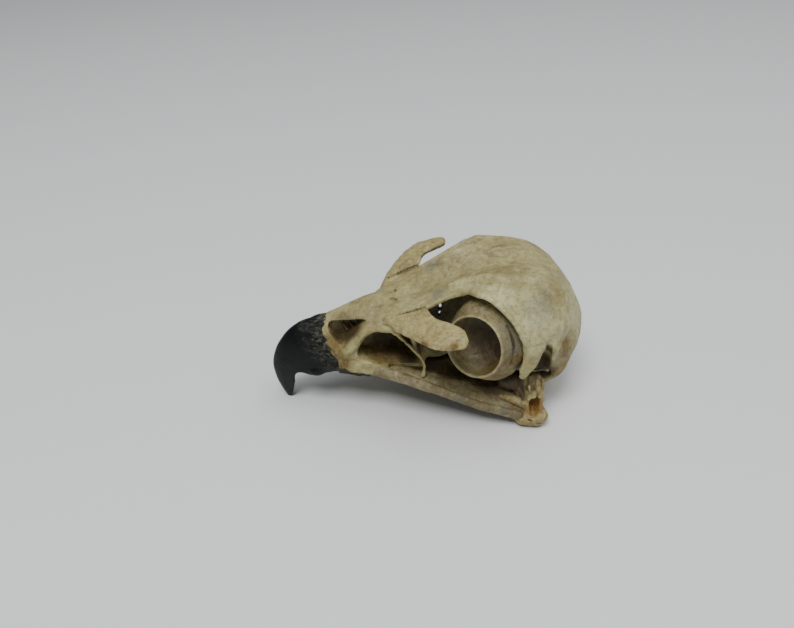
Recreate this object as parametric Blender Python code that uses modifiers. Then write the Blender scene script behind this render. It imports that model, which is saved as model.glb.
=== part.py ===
"""Hawk skull without its lower jaw, life size, resting on the hook of its bill and on its two jaw joints.

The bill points to -X, the left side faces -Y and the floor is z = 0. Sizes are in millimetres. A place is
given as x, out, up: out is the distance from the middle plane of the skull, and side is -1 on the left and
+1 on the right.
"""
import math

import bmesh
import bpy
from mathutils import Matrix, Vector

MM = 0.001
LEFT, RIGHT = -1, 1
SIDES = {"left": LEFT, "right": RIGHT}

# Driving dimensions
SEAM = 0.3               # gap between neighbouring bones
SEPTUM_THICK = 1.4       # the bony wall between the eye sockets
FLOOR_FLAT = 0.25        # how much of the hook and the jaw joints is worn flat, so that they rest
FLAT_ANGLE = 3.0         # faces that meet at less than this many degrees are merged
BROW_LEAN = 1.3          # the left brow's outer edge is this much lower, and the right one's higher

EYE_CENTRE = (9.9, 17.0, 24.2)     # middle of the eye ring's opening
EYE_FORWARD = 40.0                 # degrees that the eye looks forward of sideways
EYE_UP = 14.0                      # degrees that it looks up
RING_OPENING = 7.3                 # radius of the ring's opening
RING_BASE = 10.0                   # radius of its widest part
RING_DEPTH = 6.6                   # how far behind the opening that is
RING_WALL = 1.0
BOWL_DEPTH = 8.6                   # how far behind the opening the dried skin of the eye closes it

ORBIT_CENTRE = (10.8, 10.2, 21.4)
ORBIT_RADII = (13.6, 11.2, 13.4)

# Cross-sections of the cranium. Each row has: x, height on the middle line, shoulder (out, up),
# side (out, up), hip (out, up), and height of the underside on the middle line.
CRANIUM = [
    (-12.7, 29.1, (4.0, 28.4), (7.2, 26.4), (5.0, 25.2), 25.0),
    (-9.0, 29.2, (5.0, 29.0), (9.0, 27.7), (6.5, 26.0), 25.4),
    (-5.0, 30.0, (5.6, 30.2), (9.8, 29.5), (7.5, 27.4), 26.4),
    (-1.0, 31.3, (6.0, 31.8), (10.2, 31.2), (8.0, 29.2), 28.0),
    (3.3, 33.0, (6.2, 33.8), (9.9, 33.5), (8.0, 31.4), 30.0),
    (8.0, 35.0, (6.8, 36.0), (11.0, 35.6), (9.0, 33.4), 32.4),
    (10.0, 35.8, (7.5, 36.7), (11.9, 36.0), (10.0, 33.4), 32.2),
    (12.0, 36.6, (8.4, 37.4), (15.4, 34.9), (14.0, 24.0), 22.0),
    (15.5, 37.8, (9.6, 38.2), (19.0, 31.6), (15.0, 19.0), 15.5),
    (19.0, 38.6, (10.6, 38.2), (20.3, 27.4), (14.4, 16.0), 12.5),
    (23.0, 38.9, (11.0, 37.9), (20.6, 25.0), (13.8, 13.6), 11.0),
    (27.0, 38.4, (11.5, 36.8), (19.8, 24.5), (13.2, 12.6), 10.4),
    (31.0, 36.2, (11.2, 34.4), (17.6, 23.5), (12.4, 13.0), 10.6),
    (34.6, 32.6, (9.4, 31.0), (13.8, 22.0), (10.4, 13.8), 11.4),
    (37.6, 28.4, (6.2, 27.2), (8.8, 20.4), (6.8, 14.8), 12.8),
    (39.6, 24.0, (3.0, 23.4), (4.2, 19.4), (3.4, 16.4), 15.0),
    (40.4, 20.8, (1.2, 20.6), (1.8, 19.2), (1.2, 18.0), 17.8),
]

# Cross-sections of the bill from the hinge to the tip of the hook. Each row has: the point on the ridge
# (x, up), the point at the cutting edge (x, up), and the half width at the cutting edge.
BILL = [
    ((-13.0, 29.2), (-13.0, 12.0), 10.0),
    ((-17.5, 28.0), (-16.8, 12.2), 9.2),
    ((-21.5, 26.3), (-20.0, 12.3), 8.3),
    ((-25.2, 24.8), (-23.2, 12.1), 7.2),
    ((-29.3, 23.8), (-27.0, 10.7), 5.9),
    ((-33.0, 22.3), (-30.3, 9.5), 4.8),
    ((-36.3, 19.3), (-32.8, 8.6), 3.9),
    ((-38.7, 15.4), (-34.2, 7.2), 3.1),
    ((-39.9, 11.0), (-34.9, 5.5), 2.4),
    ((-39.5, 6.4), (-35.3, 3.8), 1.8),
    ((-38.4, 2.8), (-35.8, 1.6), 1.2),
    ((-37.3, 0.2), (-36.3, -0.3), 0.6),
]
# The bill's root, which belongs to the same solid as the cranium.
BILL_ROOT = [((-9.1, 28.9), (-9.1, 13.0), 9.6), ((-12.6, 29.0), (-12.6, 12.1), 9.95)]
# Where the section's outline lies: (part of the way down from the ridge, part of the half width)
BILL_SECTION = [(0.0, 0.0), (0.10, 0.42), (0.38, 0.80), (0.72, 0.97), (0.98, 1.0), (0.90, 0.55), (0.84, 0.0)]

# The outlines of the nostril and of the window behind it from the side (x, up), and how far off the middle
# plane their floors are.
NOSTRIL = [(-23.2, 23.8), (-19.7, 24.7), (-15.6, 25.4), (-16.7, 23.6), (-18.9, 21.6), (-21.2, 19.9), (-22.8, 21.4)]
NOSTRIL_FLOOR = 3.4
WINDOW = [(-17.6, 18.0), (-17.0, 20.1), (-15.0, 22.9), (-12.5, 24.3), (-9.5, 24.4), (-6.0, 24.0), (-6.0, 15.0),
          (-8.0, 14.9), (-11.1, 15.0), (-14.1, 15.8), (-16.8, 16.6)]
WINDOW_FLOOR = 2.6

# The rim of the eye socket from the side, from its front corner over the top to behind the eye (x, up).
# Below, the socket is open, and the rest of the outline only passes clear of the bones.
ORBIT_RIM = [(-1.9, 25.0), (-0.4, 28.6), (3.6, 31.2), (8.0, 33.6), (10.6, 34.6), (12.8, 35.4), (15.5, 34.3),
             (18.4, 31.2), (20.2, 27.0), (21.2, 22.5), (21.0, 18.5), (21.4, 14.0), (22.0, 6.0), (8.0, 2.0),
             (-2.4, 8.0), (-2.4, 18.0)]
# The brow blade. Each row has a point of its inner edge and of its outer edge (x, out, up), and its half
# thickness. The inner edge starts along the forehead and then runs free.
BROW = [
    ((-11.4, 8.7, 26.9), (-11.0, 9.6, 26.6), 0.3),
    ((-8.6, 9.5, 28.0), (-8.9, 13.0, 28.0), 0.7),
    ((-4.6, 10.3, 29.8), (-4.4, 19.0, 29.7), 0.9),
    ((-1.0, 10.9, 31.2), (-0.6, 23.0, 30.1), 0.9),
    ((1.0, 14.9, 31.9), (3.0, 24.2, 30.2), 0.7),
    ((4.0, 16.9, 32.3), (6.0, 24.1, 30.6), 0.6),
    ((7.0, 20.0, 32.5), (7.9, 23.0, 31.2), 0.4),
]

# The upper side of the palatine: x, then places (out, up) from the middle to the edge beside the cheek bar.
PALATINE = [
    (-8.6, (1.2, 14.0), (4.0, 13.0), (7.4, 12.9), (9.2, 13.4), (10.1, 13.0)),
    (0.0, (1.2, 11.8), (4.5, 10.8), (8.5, 10.4), (12.0, 12.2), (13.2, 11.2)),
    (6.0, (1.2, 10.2), (4.5, 9.0), (9.0, 8.2), (12.6, 9.8), (14.8, 8.5)),
    (12.0, (1.2, 8.6), (4.5, 7.2), (9.0, 6.4), (12.8, 7.8), (15.9, 6.4)),
    (17.0, (1.2, 7.6), (4.5, 6.4), (9.0, 5.6), (12.8, 6.6), (16.5, 5.2)),
    (19.0, (1.2, 7.4), (4.5, 6.3), (9.0, 5.6), (12.8, 6.4), (16.4, 4.8)),
]
PALATE_THICK = 1.4

BROW_CORNERS = 12
HORN_BORDER = ((-25.6, 27.0), (-21.3, 11.0))   # line (x, up) where the black horn ends on the bone


def at(x, out, up, side=LEFT):
    """A point of the skull in metres."""
    return Vector((x, side * out, up)) * MM


def spline(before, start, end, after, part):
    """A point of the smooth curve through four points, between the second and the third."""
    return 0.5 * (
        2 * start
        + (end - before) * part
        + (2 * before - 5 * start + 4 * end - after) * part**2
        + (3 * start - before - 3 * end + after) * part**3
    )


def smooth(points, steps, closed=False):
    """The points with steps - 1 more between each two, along a smooth curve."""
    count = len(points)
    fine = []
    for i in range(count if closed else count - 1):
        if closed:
            near = [points[(i + k) % count] for k in (-1, 0, 1, 2)]
        else:
            near = [points[min(max(i + k, 0), count - 1)] for k in (-1, 0, 1, 2)]
        fine += [spline(*near, step / steps) for step in range(steps)]
    return fine if closed else fine + [points[-1]]


# Scene, collections and materials

def clear_scene():
    for thing in list(bpy.data.objects):
        bpy.data.objects.remove(thing, do_unlink=True)


def collection(name):
    made = bpy.data.collections.new(name)
    bpy.context.scene.collection.children.link(made)
    return made


def material(name, colour, roughness, metallic=0.0):
    made = bpy.data.materials.new(name)
    made.use_nodes = True
    shader = made.node_tree.nodes["Principled BSDF"]
    shader.inputs["Base Color"].default_value = (*colour, 1.0)
    shader.inputs["Roughness"].default_value = roughness
    shader.inputs["Metallic"].default_value = metallic
    made.diffuse_color = (*colour, 1.0)
    return made


clear_scene()
PARTS = collection("Hawk skull")
HELPERS = collection("Cutters")
BONE = material("Dry bone", (0.66, 0.59, 0.45), 0.60)
BILL_BONE = material("Stained bone", (0.60, 0.50, 0.34), 0.62)
BROW_BONE = material("Brow bone", (0.62, 0.54, 0.40), 0.66)
RING_BONE = material("Eye ring bone", (0.58, 0.52, 0.42), 0.55)
PALATE_BONE = material("Palate bone", (0.60, 0.53, 0.38), 0.62)
JOINT_BONE = material("Broken joint bone", (0.60, 0.44, 0.24), 0.68)
HORN = material("Black horn", (0.015, 0.016, 0.018), 0.38)


# Meshes

def mesh_object(name, bm, look=None):
    """The bmesh as an object: a part if it has a material, else a hidden helper."""
    bmesh.ops.recalc_face_normals(bm, faces=bm.faces)
    mesh = bpy.data.meshes.new(name)
    bm.to_mesh(mesh)
    bm.free()
    made = bpy.data.objects.new(name, mesh)
    if look:
        mesh.materials.append(look)
        mesh.shade_smooth()
        PARTS.objects.link(made)
    else:
        made.hide_render = True
        made.display_type = "WIRE"
        HELPERS.objects.link(made)
    return made


def loft(name, rings, look=None):
    """A closed body through rings of points, each ring with as many points as the next."""
    bm = bmesh.new()
    rows = [[bm.verts.new(point) for point in ring] for ring in rings]
    count = len(rings[0])
    for row, following in zip(rows, rows[1:]):
        for i in range(count):
            j = (i + 1) % count
            bm.faces.new((row[i], row[j], following[j], following[i]))
    for row in (rows[0], rows[-1]):
        centre = bm.verts.new(sum((v.co for v in row), Vector()) / count)
        for i in range(count):
            bm.faces.new((row[i], row[(i + 1) % count], centre))
    return mesh_object(name, bm, look)


def spar(name, stations, side, look=None, corners=8, steps=2, across=(0, 1, 0)):
    """A bar or blade of oval section. Each station has: place, half breadth, half thickness.

    The breadth lies across the bar, as near as it can to the direction across."""
    path = smooth([at(*place, side) for place, _, _ in stations], steps)
    sizes = smooth([Vector((breadth, thick)) for _, breadth, thick in stations], steps)
    reference = Vector((across[0], side * across[1], across[2])).normalized()
    rings = []
    for i, centre in enumerate(path):
        ahead = (path[min(i + 1, len(path) - 1)] - path[max(i - 1, 0)]).normalized()
        broad = (reference - ahead * reference.dot(ahead)).normalized()
        thin = ahead.cross(broad)
        ring = []
        for k in range(corners):
            turn = 2 * math.pi * k / corners
            reach = broad * math.cos(turn) * sizes[i].x + thin * math.sin(turn) * sizes[i].y
            ring.append(centre + reach * MM)
        rings.append(ring)
    return loft(name, rings, look)


def ellipsoid(name, centre, radii, side, turn=0.0, look=None, segments=16, rings=10):
    """An ellipsoid, turned about the crosswise axis by turn degrees, its rear end down."""
    bm = bmesh.new()
    bmesh.ops.create_uvsphere(bm, u_segments=segments, v_segments=rings, radius=1.0)
    bmesh.ops.scale(bm, vec=Vector(radii) * MM, verts=bm.verts)
    bmesh.ops.rotate(bm, cent=Vector(), matrix=Matrix.Rotation(math.radians(turn), 3, "Y"), verts=bm.verts)
    bmesh.ops.translate(bm, vec=at(*centre, side), verts=bm.verts)
    return mesh_object(name, bm, look)


def block(name, low, high, side=RIGHT):
    """A box between two corners, given as (x, out, up)."""
    bm = bmesh.new()
    bmesh.ops.create_cube(bm, size=1.0)
    first, last = at(*low, side), at(*high, side)
    size = Vector([abs(last[i] - first[i]) for i in range(3)])
    bmesh.ops.scale(bm, vec=size, verts=bm.verts)
    bmesh.ops.translate(bm, vec=(first + last) / 2, verts=bm.verts)
    return mesh_object(name, bm)


def flat_plate(name, outline, inner, outer, side=RIGHT):
    """A flat plate from its outline (x, up), a filled curve, from inner to outer off the middle plane."""
    curve = bpy.data.curves.new(name, "CURVE")
    curve.dimensions = "2D"
    curve.fill_mode = "BOTH"
    curve.extrude = (outer - inner) / 2 * MM
    line = curve.splines.new("POLY")
    line.points.add(len(outline) - 1)
    for point, (x, up) in zip(line.points, outline):
        point.co = (x * MM, up * MM, 0, 1)
    line.use_cyclic_u = True
    drawn = bpy.data.objects.new(name + "_curve", curve)
    drawn.matrix_world = (Matrix.Translation(at(0, (inner + outer) / 2, 0, side))
                          @ Matrix.Rotation(math.radians(90), 4, "X"))
    HELPERS.objects.link(drawn)
    bpy.context.view_layer.update()
    shape = bpy.data.meshes.new_from_object(drawn.evaluated_get(bpy.context.evaluated_depsgraph_get()))
    bm = bmesh.new()
    bm.from_mesh(shape)
    bmesh.ops.remove_doubles(bm, verts=bm.verts, dist=0.00001)
    made = mesh_object(name, bm)
    made.matrix_world = drawn.matrix_world.copy()
    bpy.data.objects.remove(drawn, do_unlink=True)
    return made


def change(body, other, operation):
    step = body.modifiers.new(other.name, "BOOLEAN")
    step.operation = operation
    step.object = other
    step.solver = "EXACT"


def cut(body, *others):
    for other in others:
        change(body, other, "DIFFERENCE")


def join(body, *others):
    for other in others:
        change(body, other, "UNION")


def merge_flat_faces(body):
    """Makes one face of neighbours that are nearly in one plane."""
    step = body.modifiers.new("Merge flat faces", "DECIMATE")
    step.decimate_type = "DISSOLVE"
    step.angle_limit = math.radians(FLAT_ANGLE)


# The bones

def cranium_rings():
    """Rings round the cranium, smooth both round it and along it."""
    rings = []
    for x, mid, shoulder, flank, hip, keel in CRANIUM:
        half = [(0.0, mid), shoulder, flank, hip, (0.0, keel)]
        other_half = [(-out, up) for out, up in reversed(half[1:-1])]
        loop = [at(x, out, up) for out, up in half + other_half]
        rings.append(smooth(loop, 3, closed=True))
    columns = [smooth([ring[i] for ring in rings], 2) for i in range(len(rings[0]))]
    return [list(ring) for ring in zip(*columns)]


def eye_axis(side):
    forward, up = math.radians(EYE_FORWARD), math.radians(EYE_UP)
    return Vector((-math.sin(forward) * math.cos(up), side * math.cos(forward) * math.cos(up), math.sin(up)))


def turned_eye(name, profile, side, look=None):
    """A body turned round the axis of the eye from its profile (radius, height above the ring's opening)."""
    bm = bmesh.new()
    points = [bm.verts.new((radius * MM, 0, height * MM)) for radius, height in profile]
    for point, following in zip(points, points[1:]):
        bm.edges.new((point, following))
    made = mesh_object(name, bm, look)
    step = made.modifiers.new("Turned", "SCREW")
    step.steps = step.render_steps = 26
    step.use_merge_vertices = True
    step.merge_threshold = 0.00001
    step.use_smooth_shade = True
    made.rotation_mode = "QUATERNION"
    made.rotation_quaternion = Vector((0, 0, 1)).rotation_difference(eye_axis(side))
    made.location = at(*EYE_CENTRE, side)
    return made


def eye_ring(name, side):
    """The ring of bony plates round the eye, a turned cone, closed behind by the eye's dried skin."""
    return turned_eye("eye_ring_" + name, [
        (0.0, -BOWL_DEPTH), (5.4, -BOWL_DEPTH + 1.6), (RING_OPENING + 0.1, -4.6),
        (RING_OPENING + 0.1, -2.6), (RING_OPENING - 0.2, -0.6), (RING_OPENING, 0.0),
        (RING_OPENING + 0.6, -0.5), (RING_OPENING + 1.0, -2.6), (RING_BASE - 0.8, -4.6),
        (RING_BASE, -RING_DEPTH), (8.2, -BOWL_DEPTH + 0.2), (0.0, -BOWL_DEPTH - RING_WALL),
    ], side, RING_BONE)


def ring_clearance(name, side):
    """The room that the eye ring needs among the bones, a seam wider than the ring."""
    return turned_eye("ring_clearance_" + name, [
        (0.0, 1.0), (RING_OPENING + 1.2, 1.0), (RING_OPENING + 1.2 + SEAM, -2.6),
        (RING_BASE + SEAM, -4.6), (RING_BASE + SEAM, -RING_DEPTH - SEAM), (8.2 + SEAM, -BOWL_DEPTH - SEAM),
        (0.0, -BOWL_DEPTH - RING_WALL - 2 * SEAM),
    ], side)


def orbit_cutter(name, side):
    """The eye socket: an ellipsoid behind the rim's outline, up to the wall between the sockets."""
    socket = ellipsoid("orbit_" + name, ORBIT_CENTRE, ORBIT_RADII, side, segments=28, rings=16)
    change(socket, block("orbit_keep_" + name, (-20, SEPTUM_THICK / 2, 0), (40, 40, 60), side), "INTERSECT")
    rim = [(point.x, point.y) for point in smooth([Vector(point) for point in ORBIT_RIM], 2, closed=True)]
    join(socket, flat_plate("orbit_rim_" + name, rim, 9.0, 34.0, side))
    return socket


def bill_rings(stations):
    rings = []
    for ridge, edge, half in stations:
        top, bottom = Vector((ridge[0], 0, ridge[1])), Vector((edge[0], 0, edge[1]))
        line = [top.lerp(bottom, down) + Vector((0, wide * half, 0)) for down, wide in BILL_SECTION]
        mirrored = [Vector((p.x, -p.y, p.z)) for p in reversed(line[1:-1])]
        rings.append(smooth([p * MM for p in line + mirrored], 2, closed=True))
    columns = [smooth([ring[i] for ring in rings], 2) for i in range(len(rings[0]))]
    return [list(ring) for ring in zip(*columns)]


def side_cutter(name, outline, floor, side):
    """A hole from the side down to its floor, with a smooth outline (x, up)."""
    line = [(point.x, point.y) for point in smooth([Vector(point) for point in outline], 2, closed=True)]
    return flat_plate(name, line, floor, 16.0, side)


def window_cutter(name, side):
    return side_cutter(name, WINDOW, WINDOW_FLOOR, side)


def braincase():
    body = loft("braincase", cranium_rings(), BONE)
    septum = [(-12.6, 27.0), (-12.6, 12.0), (-4.0, 10.4), (5, 9.8), (18, 9.4), (18, 36), (8, 33.0), (0, 29.6)]
    for name, side in SIDES.items():
        cut(body, orbit_cutter(name, side))
    join(body, flat_plate("septum", septum, -SEPTUM_THICK / 2, SEPTUM_THICK / 2))
    join(body, spar("rostrum", [((-10.0, 0, 17.4), 0.9, 0.9), ((2, 0, 14.4), 1.5, 1.3),
                                ((15, 0, 12.0), 2.4, 1.8), ((25, 0, 12.6), 4.0, 2.4)], LEFT))
    root = loft("bill_root", bill_rings(BILL_ROOT))
    for name, side in SIDES.items():
        cut(root, window_cutter("root_window_" + name, side))
    join(body, root)
    join(body, ellipsoid("ethmoid", (-6.4, 0, 22.2), (4.4, 2.6, 6.6), LEFT, turn=-10))
    for name, side in SIDES.items():
        join(
            body,
            ellipsoid("eye_front_wall_" + name, (-3.8, 4.7, 21.8), (0.9, 5.9, 7.4), side, turn=-14),
            spar("postorbital_" + name, [((25.4, 15.6, 29.0), 2.6, 2.0), ((24.2, 18.2, 23.6), 2.6, 1.6),
                                         ((22.9, 19.5, 20.0), 1.7, 1.0), ((21.4, 20.3, 17.4), 0.9, 0.6)],
                 side, across=(1, -0.3, 0)),
            spar("zygomatic_" + name, [((29.4, 15.0, 20.0), 1.8, 1.4), ((27.6, 16.6, 17.4), 0.5, 0.5)],
                 side, across=(1, 0, 0)),
            spar("paroccipital_" + name, [((32.4, 11.0, 20.0), 3.0, 2.6), ((31.4, 13.4, 16.4), 2.6, 1.8),
                                          ((30.4, 15.0, 13.1), 1.3, 0.8)], side, across=(1, -0.6, 0)),
        )
        cut(body, ellipsoid("temporal_notch_" + name, (27.4, 19.8, 14.0), (2.5, 5.6, 9.6), side, turn=-8),
            ellipsoid("ear_" + name, (28.4, 14.8, 13.0), (2.9, 4.6, 3.4), side))
    join(body, ellipsoid("condyle", (37.0, 0, 12.4), (1.7, 2.0, 1.7), LEFT))
    cut(body, ellipsoid("foramen_magnum", (39.4, 0, 14.8), (2.6, 3.6, 3.0), LEFT, turn=35))
    for name, side in SIDES.items():
        cut(body, ring_clearance(name, side))
    merge_flat_faces(body)
    return body


def border_cutter(name, ahead):
    """Everything ahead of the horn's border, or behind it, less half of the seam."""
    (top_x, top), (low_x, low) = HORN_BORDER
    shift = SEAM / 2 * (1 if ahead else -1)
    reach = -60 if ahead else 60
    rings = []
    for out in (-20, 20):
        rings.append([at(top_x + shift, out, top), at(low_x + shift, out, low),
                      at(low_x + shift, out, low - 30), at(low_x + shift + reach, out, low - 30),
                      at(low_x + shift + reach, out, top + 30), at(top_x + shift, out, top + 30)])
    return loft(name, rings)


def floor_cutter(name):
    return block(name, (-60, -40, -20), (60, 40, 0))


def bill():
    rings = bill_rings(BILL)
    horn = loft("horn_sheath", rings, HORN)
    cut(horn, border_cutter("behind_horn", False), floor_cutter("floor_under_horn"))
    bone = loft("upper_bill", rings, BILL_BONE)
    cut(bone, border_cutter("ahead_of_bone", True))
    for name, side in SIDES.items():
        cut(bone, side_cutter("nostril_" + name, NOSTRIL, NOSTRIL_FLOOR, side),
            window_cutter("window_" + name, side))
    merge_flat_faces(horn)
    merge_flat_faces(bone)
    return horn, bone


def brow(name, side):
    """The brow bone: a blade from the forehead out and back over the eye, and its thin strut to the cheek."""
    lean = BROW_LEAN * side / (24.0 - 10.0)
    rings = []
    for inner, outer, thick in BROW:
        ends = [at(x, out, up + lean * (out - 10.0), side) for x, out, up in (inner, outer)]
        middle, half = (ends[0] + ends[1]) / 2, (ends[1] - ends[0]) / 2
        turns = [2 * math.pi * k / BROW_CORNERS for k in range(BROW_CORNERS)]
        rings.append([middle + half * math.cos(turn) + Vector((0, 0, math.sin(turn) * thick * MM))
                      for turn in turns])
    columns = [smooth([ring[i] for ring in rings], 2) for i in range(BROW_CORNERS)]
    blade = loft("brow_" + name, [list(ring) for ring in zip(*columns)], BROW_BONE)
    strut = spar("strut_" + name, [((-8.4, 11.4, 28.2 + lean), 1.4, 0.9), ((-5.0, 10.9, 24.2), 0.8, 0.5),
                                   ((-2.6, 11.8, 19.8), 0.6, 0.4), ((-1.9, 13.2, 15.0), 0.6, 0.4)],
                 side, across=(1, 0, 0))
    join(blade, strut)
    return blade


def cheek_bar(name, side):
    """The thin bar from the bill back to the jaw joint."""
    return spar("cheek_bar_" + name, [
        ((-8.0, 12.0, 13.0), 1.5, 1.1), ((-4.7, 13.1, 12.1), 1.4, 1.0),
        ((0.6, 14.6, 10.5), 1.3, 0.9), ((5.9, 16.0, 8.7), 1.2, 0.8), ((11.2, 17.1, 6.5), 1.2, 0.8),
        ((16.6, 17.8, 4.9), 1.3, 0.9), ((21.4, 18.2, 3.3), 1.4, 1.0)], side, PALATE_BONE, across=(0, 0.2, 1))


def palatine(name, side):
    """The broad thin bone of the palate, from beside the middle line out to the cheek bar."""
    rings = []
    for x, *places in PALATINE:
        upper = [at(x, out, up, side) for out, up in places]
        lower = [at(x, out, up - PALATE_THICK, side) for out, up in reversed(places)]
        rings.append(upper + lower)
    columns = [smooth([ring[i] for ring in rings], 2) for i in range(len(rings[0]))]
    return loft("palatine_" + name, [list(ring) for ring in zip(*columns)], PALATE_BONE)


def pterygoid(name, side):
    """The strut from the palate to the jaw joint."""
    return spar("pterygoid_" + name, [((20.6, 6.4, 4.3), 1.2, 0.8), ((21.4, 9.6, 4.4), 1.2, 1.0),
                                      ((22.4, 12.8, 4.2), 1.3, 1.1)], side, PALATE_BONE, across=(0, 0, 1))


def quadrate(name, side):
    """The bone of the jaw joint, on which the skull rests."""
    body = ellipsoid("quadrate_" + name, (25.7, 17.3, 2.2), (3.3, 3.5, 2.2 + FLOOR_FLAT), side,
                     look=JOINT_BONE)
    join(body,
         spar("quadrate_column_" + name, [((25.6, 17.2, 1.8), 2.7, 2.6), ((25.7, 16.8, 5.6), 1.9, 1.9),
                                          ((26.4, 15.8, 9.8), 1.6, 1.6), ((27.6, 15.0, 14.6), 1.3, 1.2)],
              side, across=(1, 0, 0)),
         spar("quadrate_prong_" + name, [((25.2, 15.6, 7.2), 1.8, 1.0), ((22.6, 12.6, 8.6), 1.3, 0.7),
                                         ((20.6, 10.6, 9.4), 0.5, 0.4)], side, across=(0, 0, 1)))
    cut(body, floor_cutter("floor_under_" + name))
    return body


def centre_on_origin():
    """Moves the skull so that the middle of its length lies over the origin."""
    bpy.context.view_layer.update()
    graph = bpy.context.evaluated_depsgraph_get()
    reach = []
    for part in PARTS.objects:
        shape = part.evaluated_get(graph)
        reach += [(shape.matrix_world @ vertex.co).x for vertex in shape.data.vertices]
    shift = Vector(((min(reach) + max(reach)) / -2, 0, 0))
    for thing in list(PARTS.objects) + list(HELPERS.objects):
        thing.location += shift
    print("moved by", [round(value / MM, 3) for value in shift], "mm")


braincase()
bill()
for side_name, side_sign in SIDES.items():
    brow(side_name, side_sign)
    eye_ring(side_name, side_sign)
    cheek_bar(side_name, side_sign)
    palatine(side_name, side_sign)
    pterygoid(side_name, side_sign)
    quadrate(side_name, side_sign)
centre_on_origin()
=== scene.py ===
# %% [markdown]
# # A hawk's skull
#
# This lesson dresses a plain model of a hawk's skull until it looks like the dry, found bone that it is.
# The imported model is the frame: it gives the place and the size of every bone. Bone is a material that
# grows, so it has no flat faces and no sharp joins. That is why the bones are modelled as clay: a block of
# space is cut into small cubes, each cube holds its distance to the surface, and shapes are added to it and
# carved from it with soft edges. At the end the surface is drawn through the cubes whose distance is zero.

# %% Load the frame
import itertools
import math

import bpy
import numpy as np
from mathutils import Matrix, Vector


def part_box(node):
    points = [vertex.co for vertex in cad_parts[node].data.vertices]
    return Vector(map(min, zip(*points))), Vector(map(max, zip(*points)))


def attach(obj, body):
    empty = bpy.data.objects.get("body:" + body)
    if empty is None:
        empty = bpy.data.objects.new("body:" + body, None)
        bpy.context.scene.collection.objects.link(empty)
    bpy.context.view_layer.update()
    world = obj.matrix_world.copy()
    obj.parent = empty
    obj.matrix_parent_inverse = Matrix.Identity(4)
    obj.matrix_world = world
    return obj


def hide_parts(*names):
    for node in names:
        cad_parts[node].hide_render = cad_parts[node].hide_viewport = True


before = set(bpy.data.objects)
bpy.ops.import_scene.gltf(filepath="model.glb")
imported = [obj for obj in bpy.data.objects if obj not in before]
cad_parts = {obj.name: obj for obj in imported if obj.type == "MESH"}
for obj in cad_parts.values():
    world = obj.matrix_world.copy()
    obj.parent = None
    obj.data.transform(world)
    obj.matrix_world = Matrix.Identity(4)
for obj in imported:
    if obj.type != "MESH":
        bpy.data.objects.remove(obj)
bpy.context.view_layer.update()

import openvdb
from mathutils import Matrix, Vector

MM = 0.001

# %% [markdown]
# ## The camera
#
# The photo looks down at the skull's left side from a little above. A camera could be turned by hand until
# the picture fits. Here it is stated as a photographer would: how far round, how high, how far away, and
# how much it is tilted. All places in this lesson are in millimetres as x (towards the back of the head),
# out (away from the middle plane of the skull) and up. The frame is centred on its own length, so one
# number moves the lesson's x to the frame's: it is read from the left jaw joint, whose rear end is at a
# known x.

# %% The skull's place in the frame
JOINT_REAR = 29.0
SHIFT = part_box("quadrate_left")[1].x / MM - JOINT_REAR
SIDES = {"left": -1, "right": 1}


def row(points):
    """Places in metres in the frame, from places in millimetres in the skull."""
    return (np.asarray(points, float) + (SHIFT, 0, 0)) * MM


print("the skull's x is moved by", round(SHIFT, 3), "mm")

# %% The camera
CAMERA_ROUND = -2.5      # degrees round from the left side, towards the bill
CAMERA_HEIGHT = 33.0     # degrees above the floor
CAMERA_TILT = -2.0       # degrees that the picture leans to the left
CAMERA_DISTANCE = 210.0  # mm
CAMERA_SIDEWAYS = -7.822  # mm that the camera is moved along its own picture
CAMERA_UP = 19.510       # mm that it is moved up its own picture
FOCAL_PIXELS = 772.64    # the lens's focal length, in points of the picture
PICTURE_WIDTH = 794      # points
SENSOR = 36.0            # mm, the width of a full-frame sensor

turn, height, tilt = (math.radians(value) for value in (CAMERA_ROUND, CAMERA_HEIGHT, CAMERA_TILT))
back = Vector((math.sin(turn) * math.cos(height), -math.cos(turn) * math.cos(height), math.sin(height)))
level = Vector((0, 0, 1)).cross(back).normalized()
rise = back.cross(level)
across = math.cos(tilt) * level + math.sin(tilt) * rise
upward = math.cos(tilt) * rise - math.sin(tilt) * level
stand = back * CAMERA_DISTANCE + across * CAMERA_SIDEWAYS + upward * CAMERA_UP

lens = bpy.data.cameras.new("Camera")
lens.sensor_width = SENSOR
lens.lens = FOCAL_PIXELS * SENSOR / PICTURE_WIDTH
lens.clip_start = 0.01
camera = bpy.data.objects.new("Camera", lens)
bpy.context.scene.collection.objects.link(camera)
spot = row(stand)
camera.matrix_world = Matrix([[across[i], upward[i], back[i], spot[i]] for i in range(3)] + [[0, 0, 0, 1]])
bpy.context.scene.camera = camera
print("the camera stands", round(stand.length), "mm away, with a lens of", round(lens.lens, 1), "mm")

# %% [markdown]
# ## Clay
#
# A bone could be made from a coarse cage with a subdivision surface, and its holes with Booleans. Booleans
# leave knife edges, and bone has none. In a distance field two shapes melt into each other over a width
# that is chosen, like clay under a thumb, and a hole gets a rounded lip by itself. `smooth_min` is all that
# it takes: it is the smaller of two distances, but rounded where they are nearly the same.

# %% Clay
FAR = 3.0                # mm: distances beyond this don't matter


def smooth_min(one, other, soft):
    """The smaller of two distances, rounded off where they differ by less than soft mm."""
    part = np.clip(0.5 + 0.5 * (other - one) / soft, 0, 1)
    return other + (one - other) * part - soft * part * (1 - part)


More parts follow.
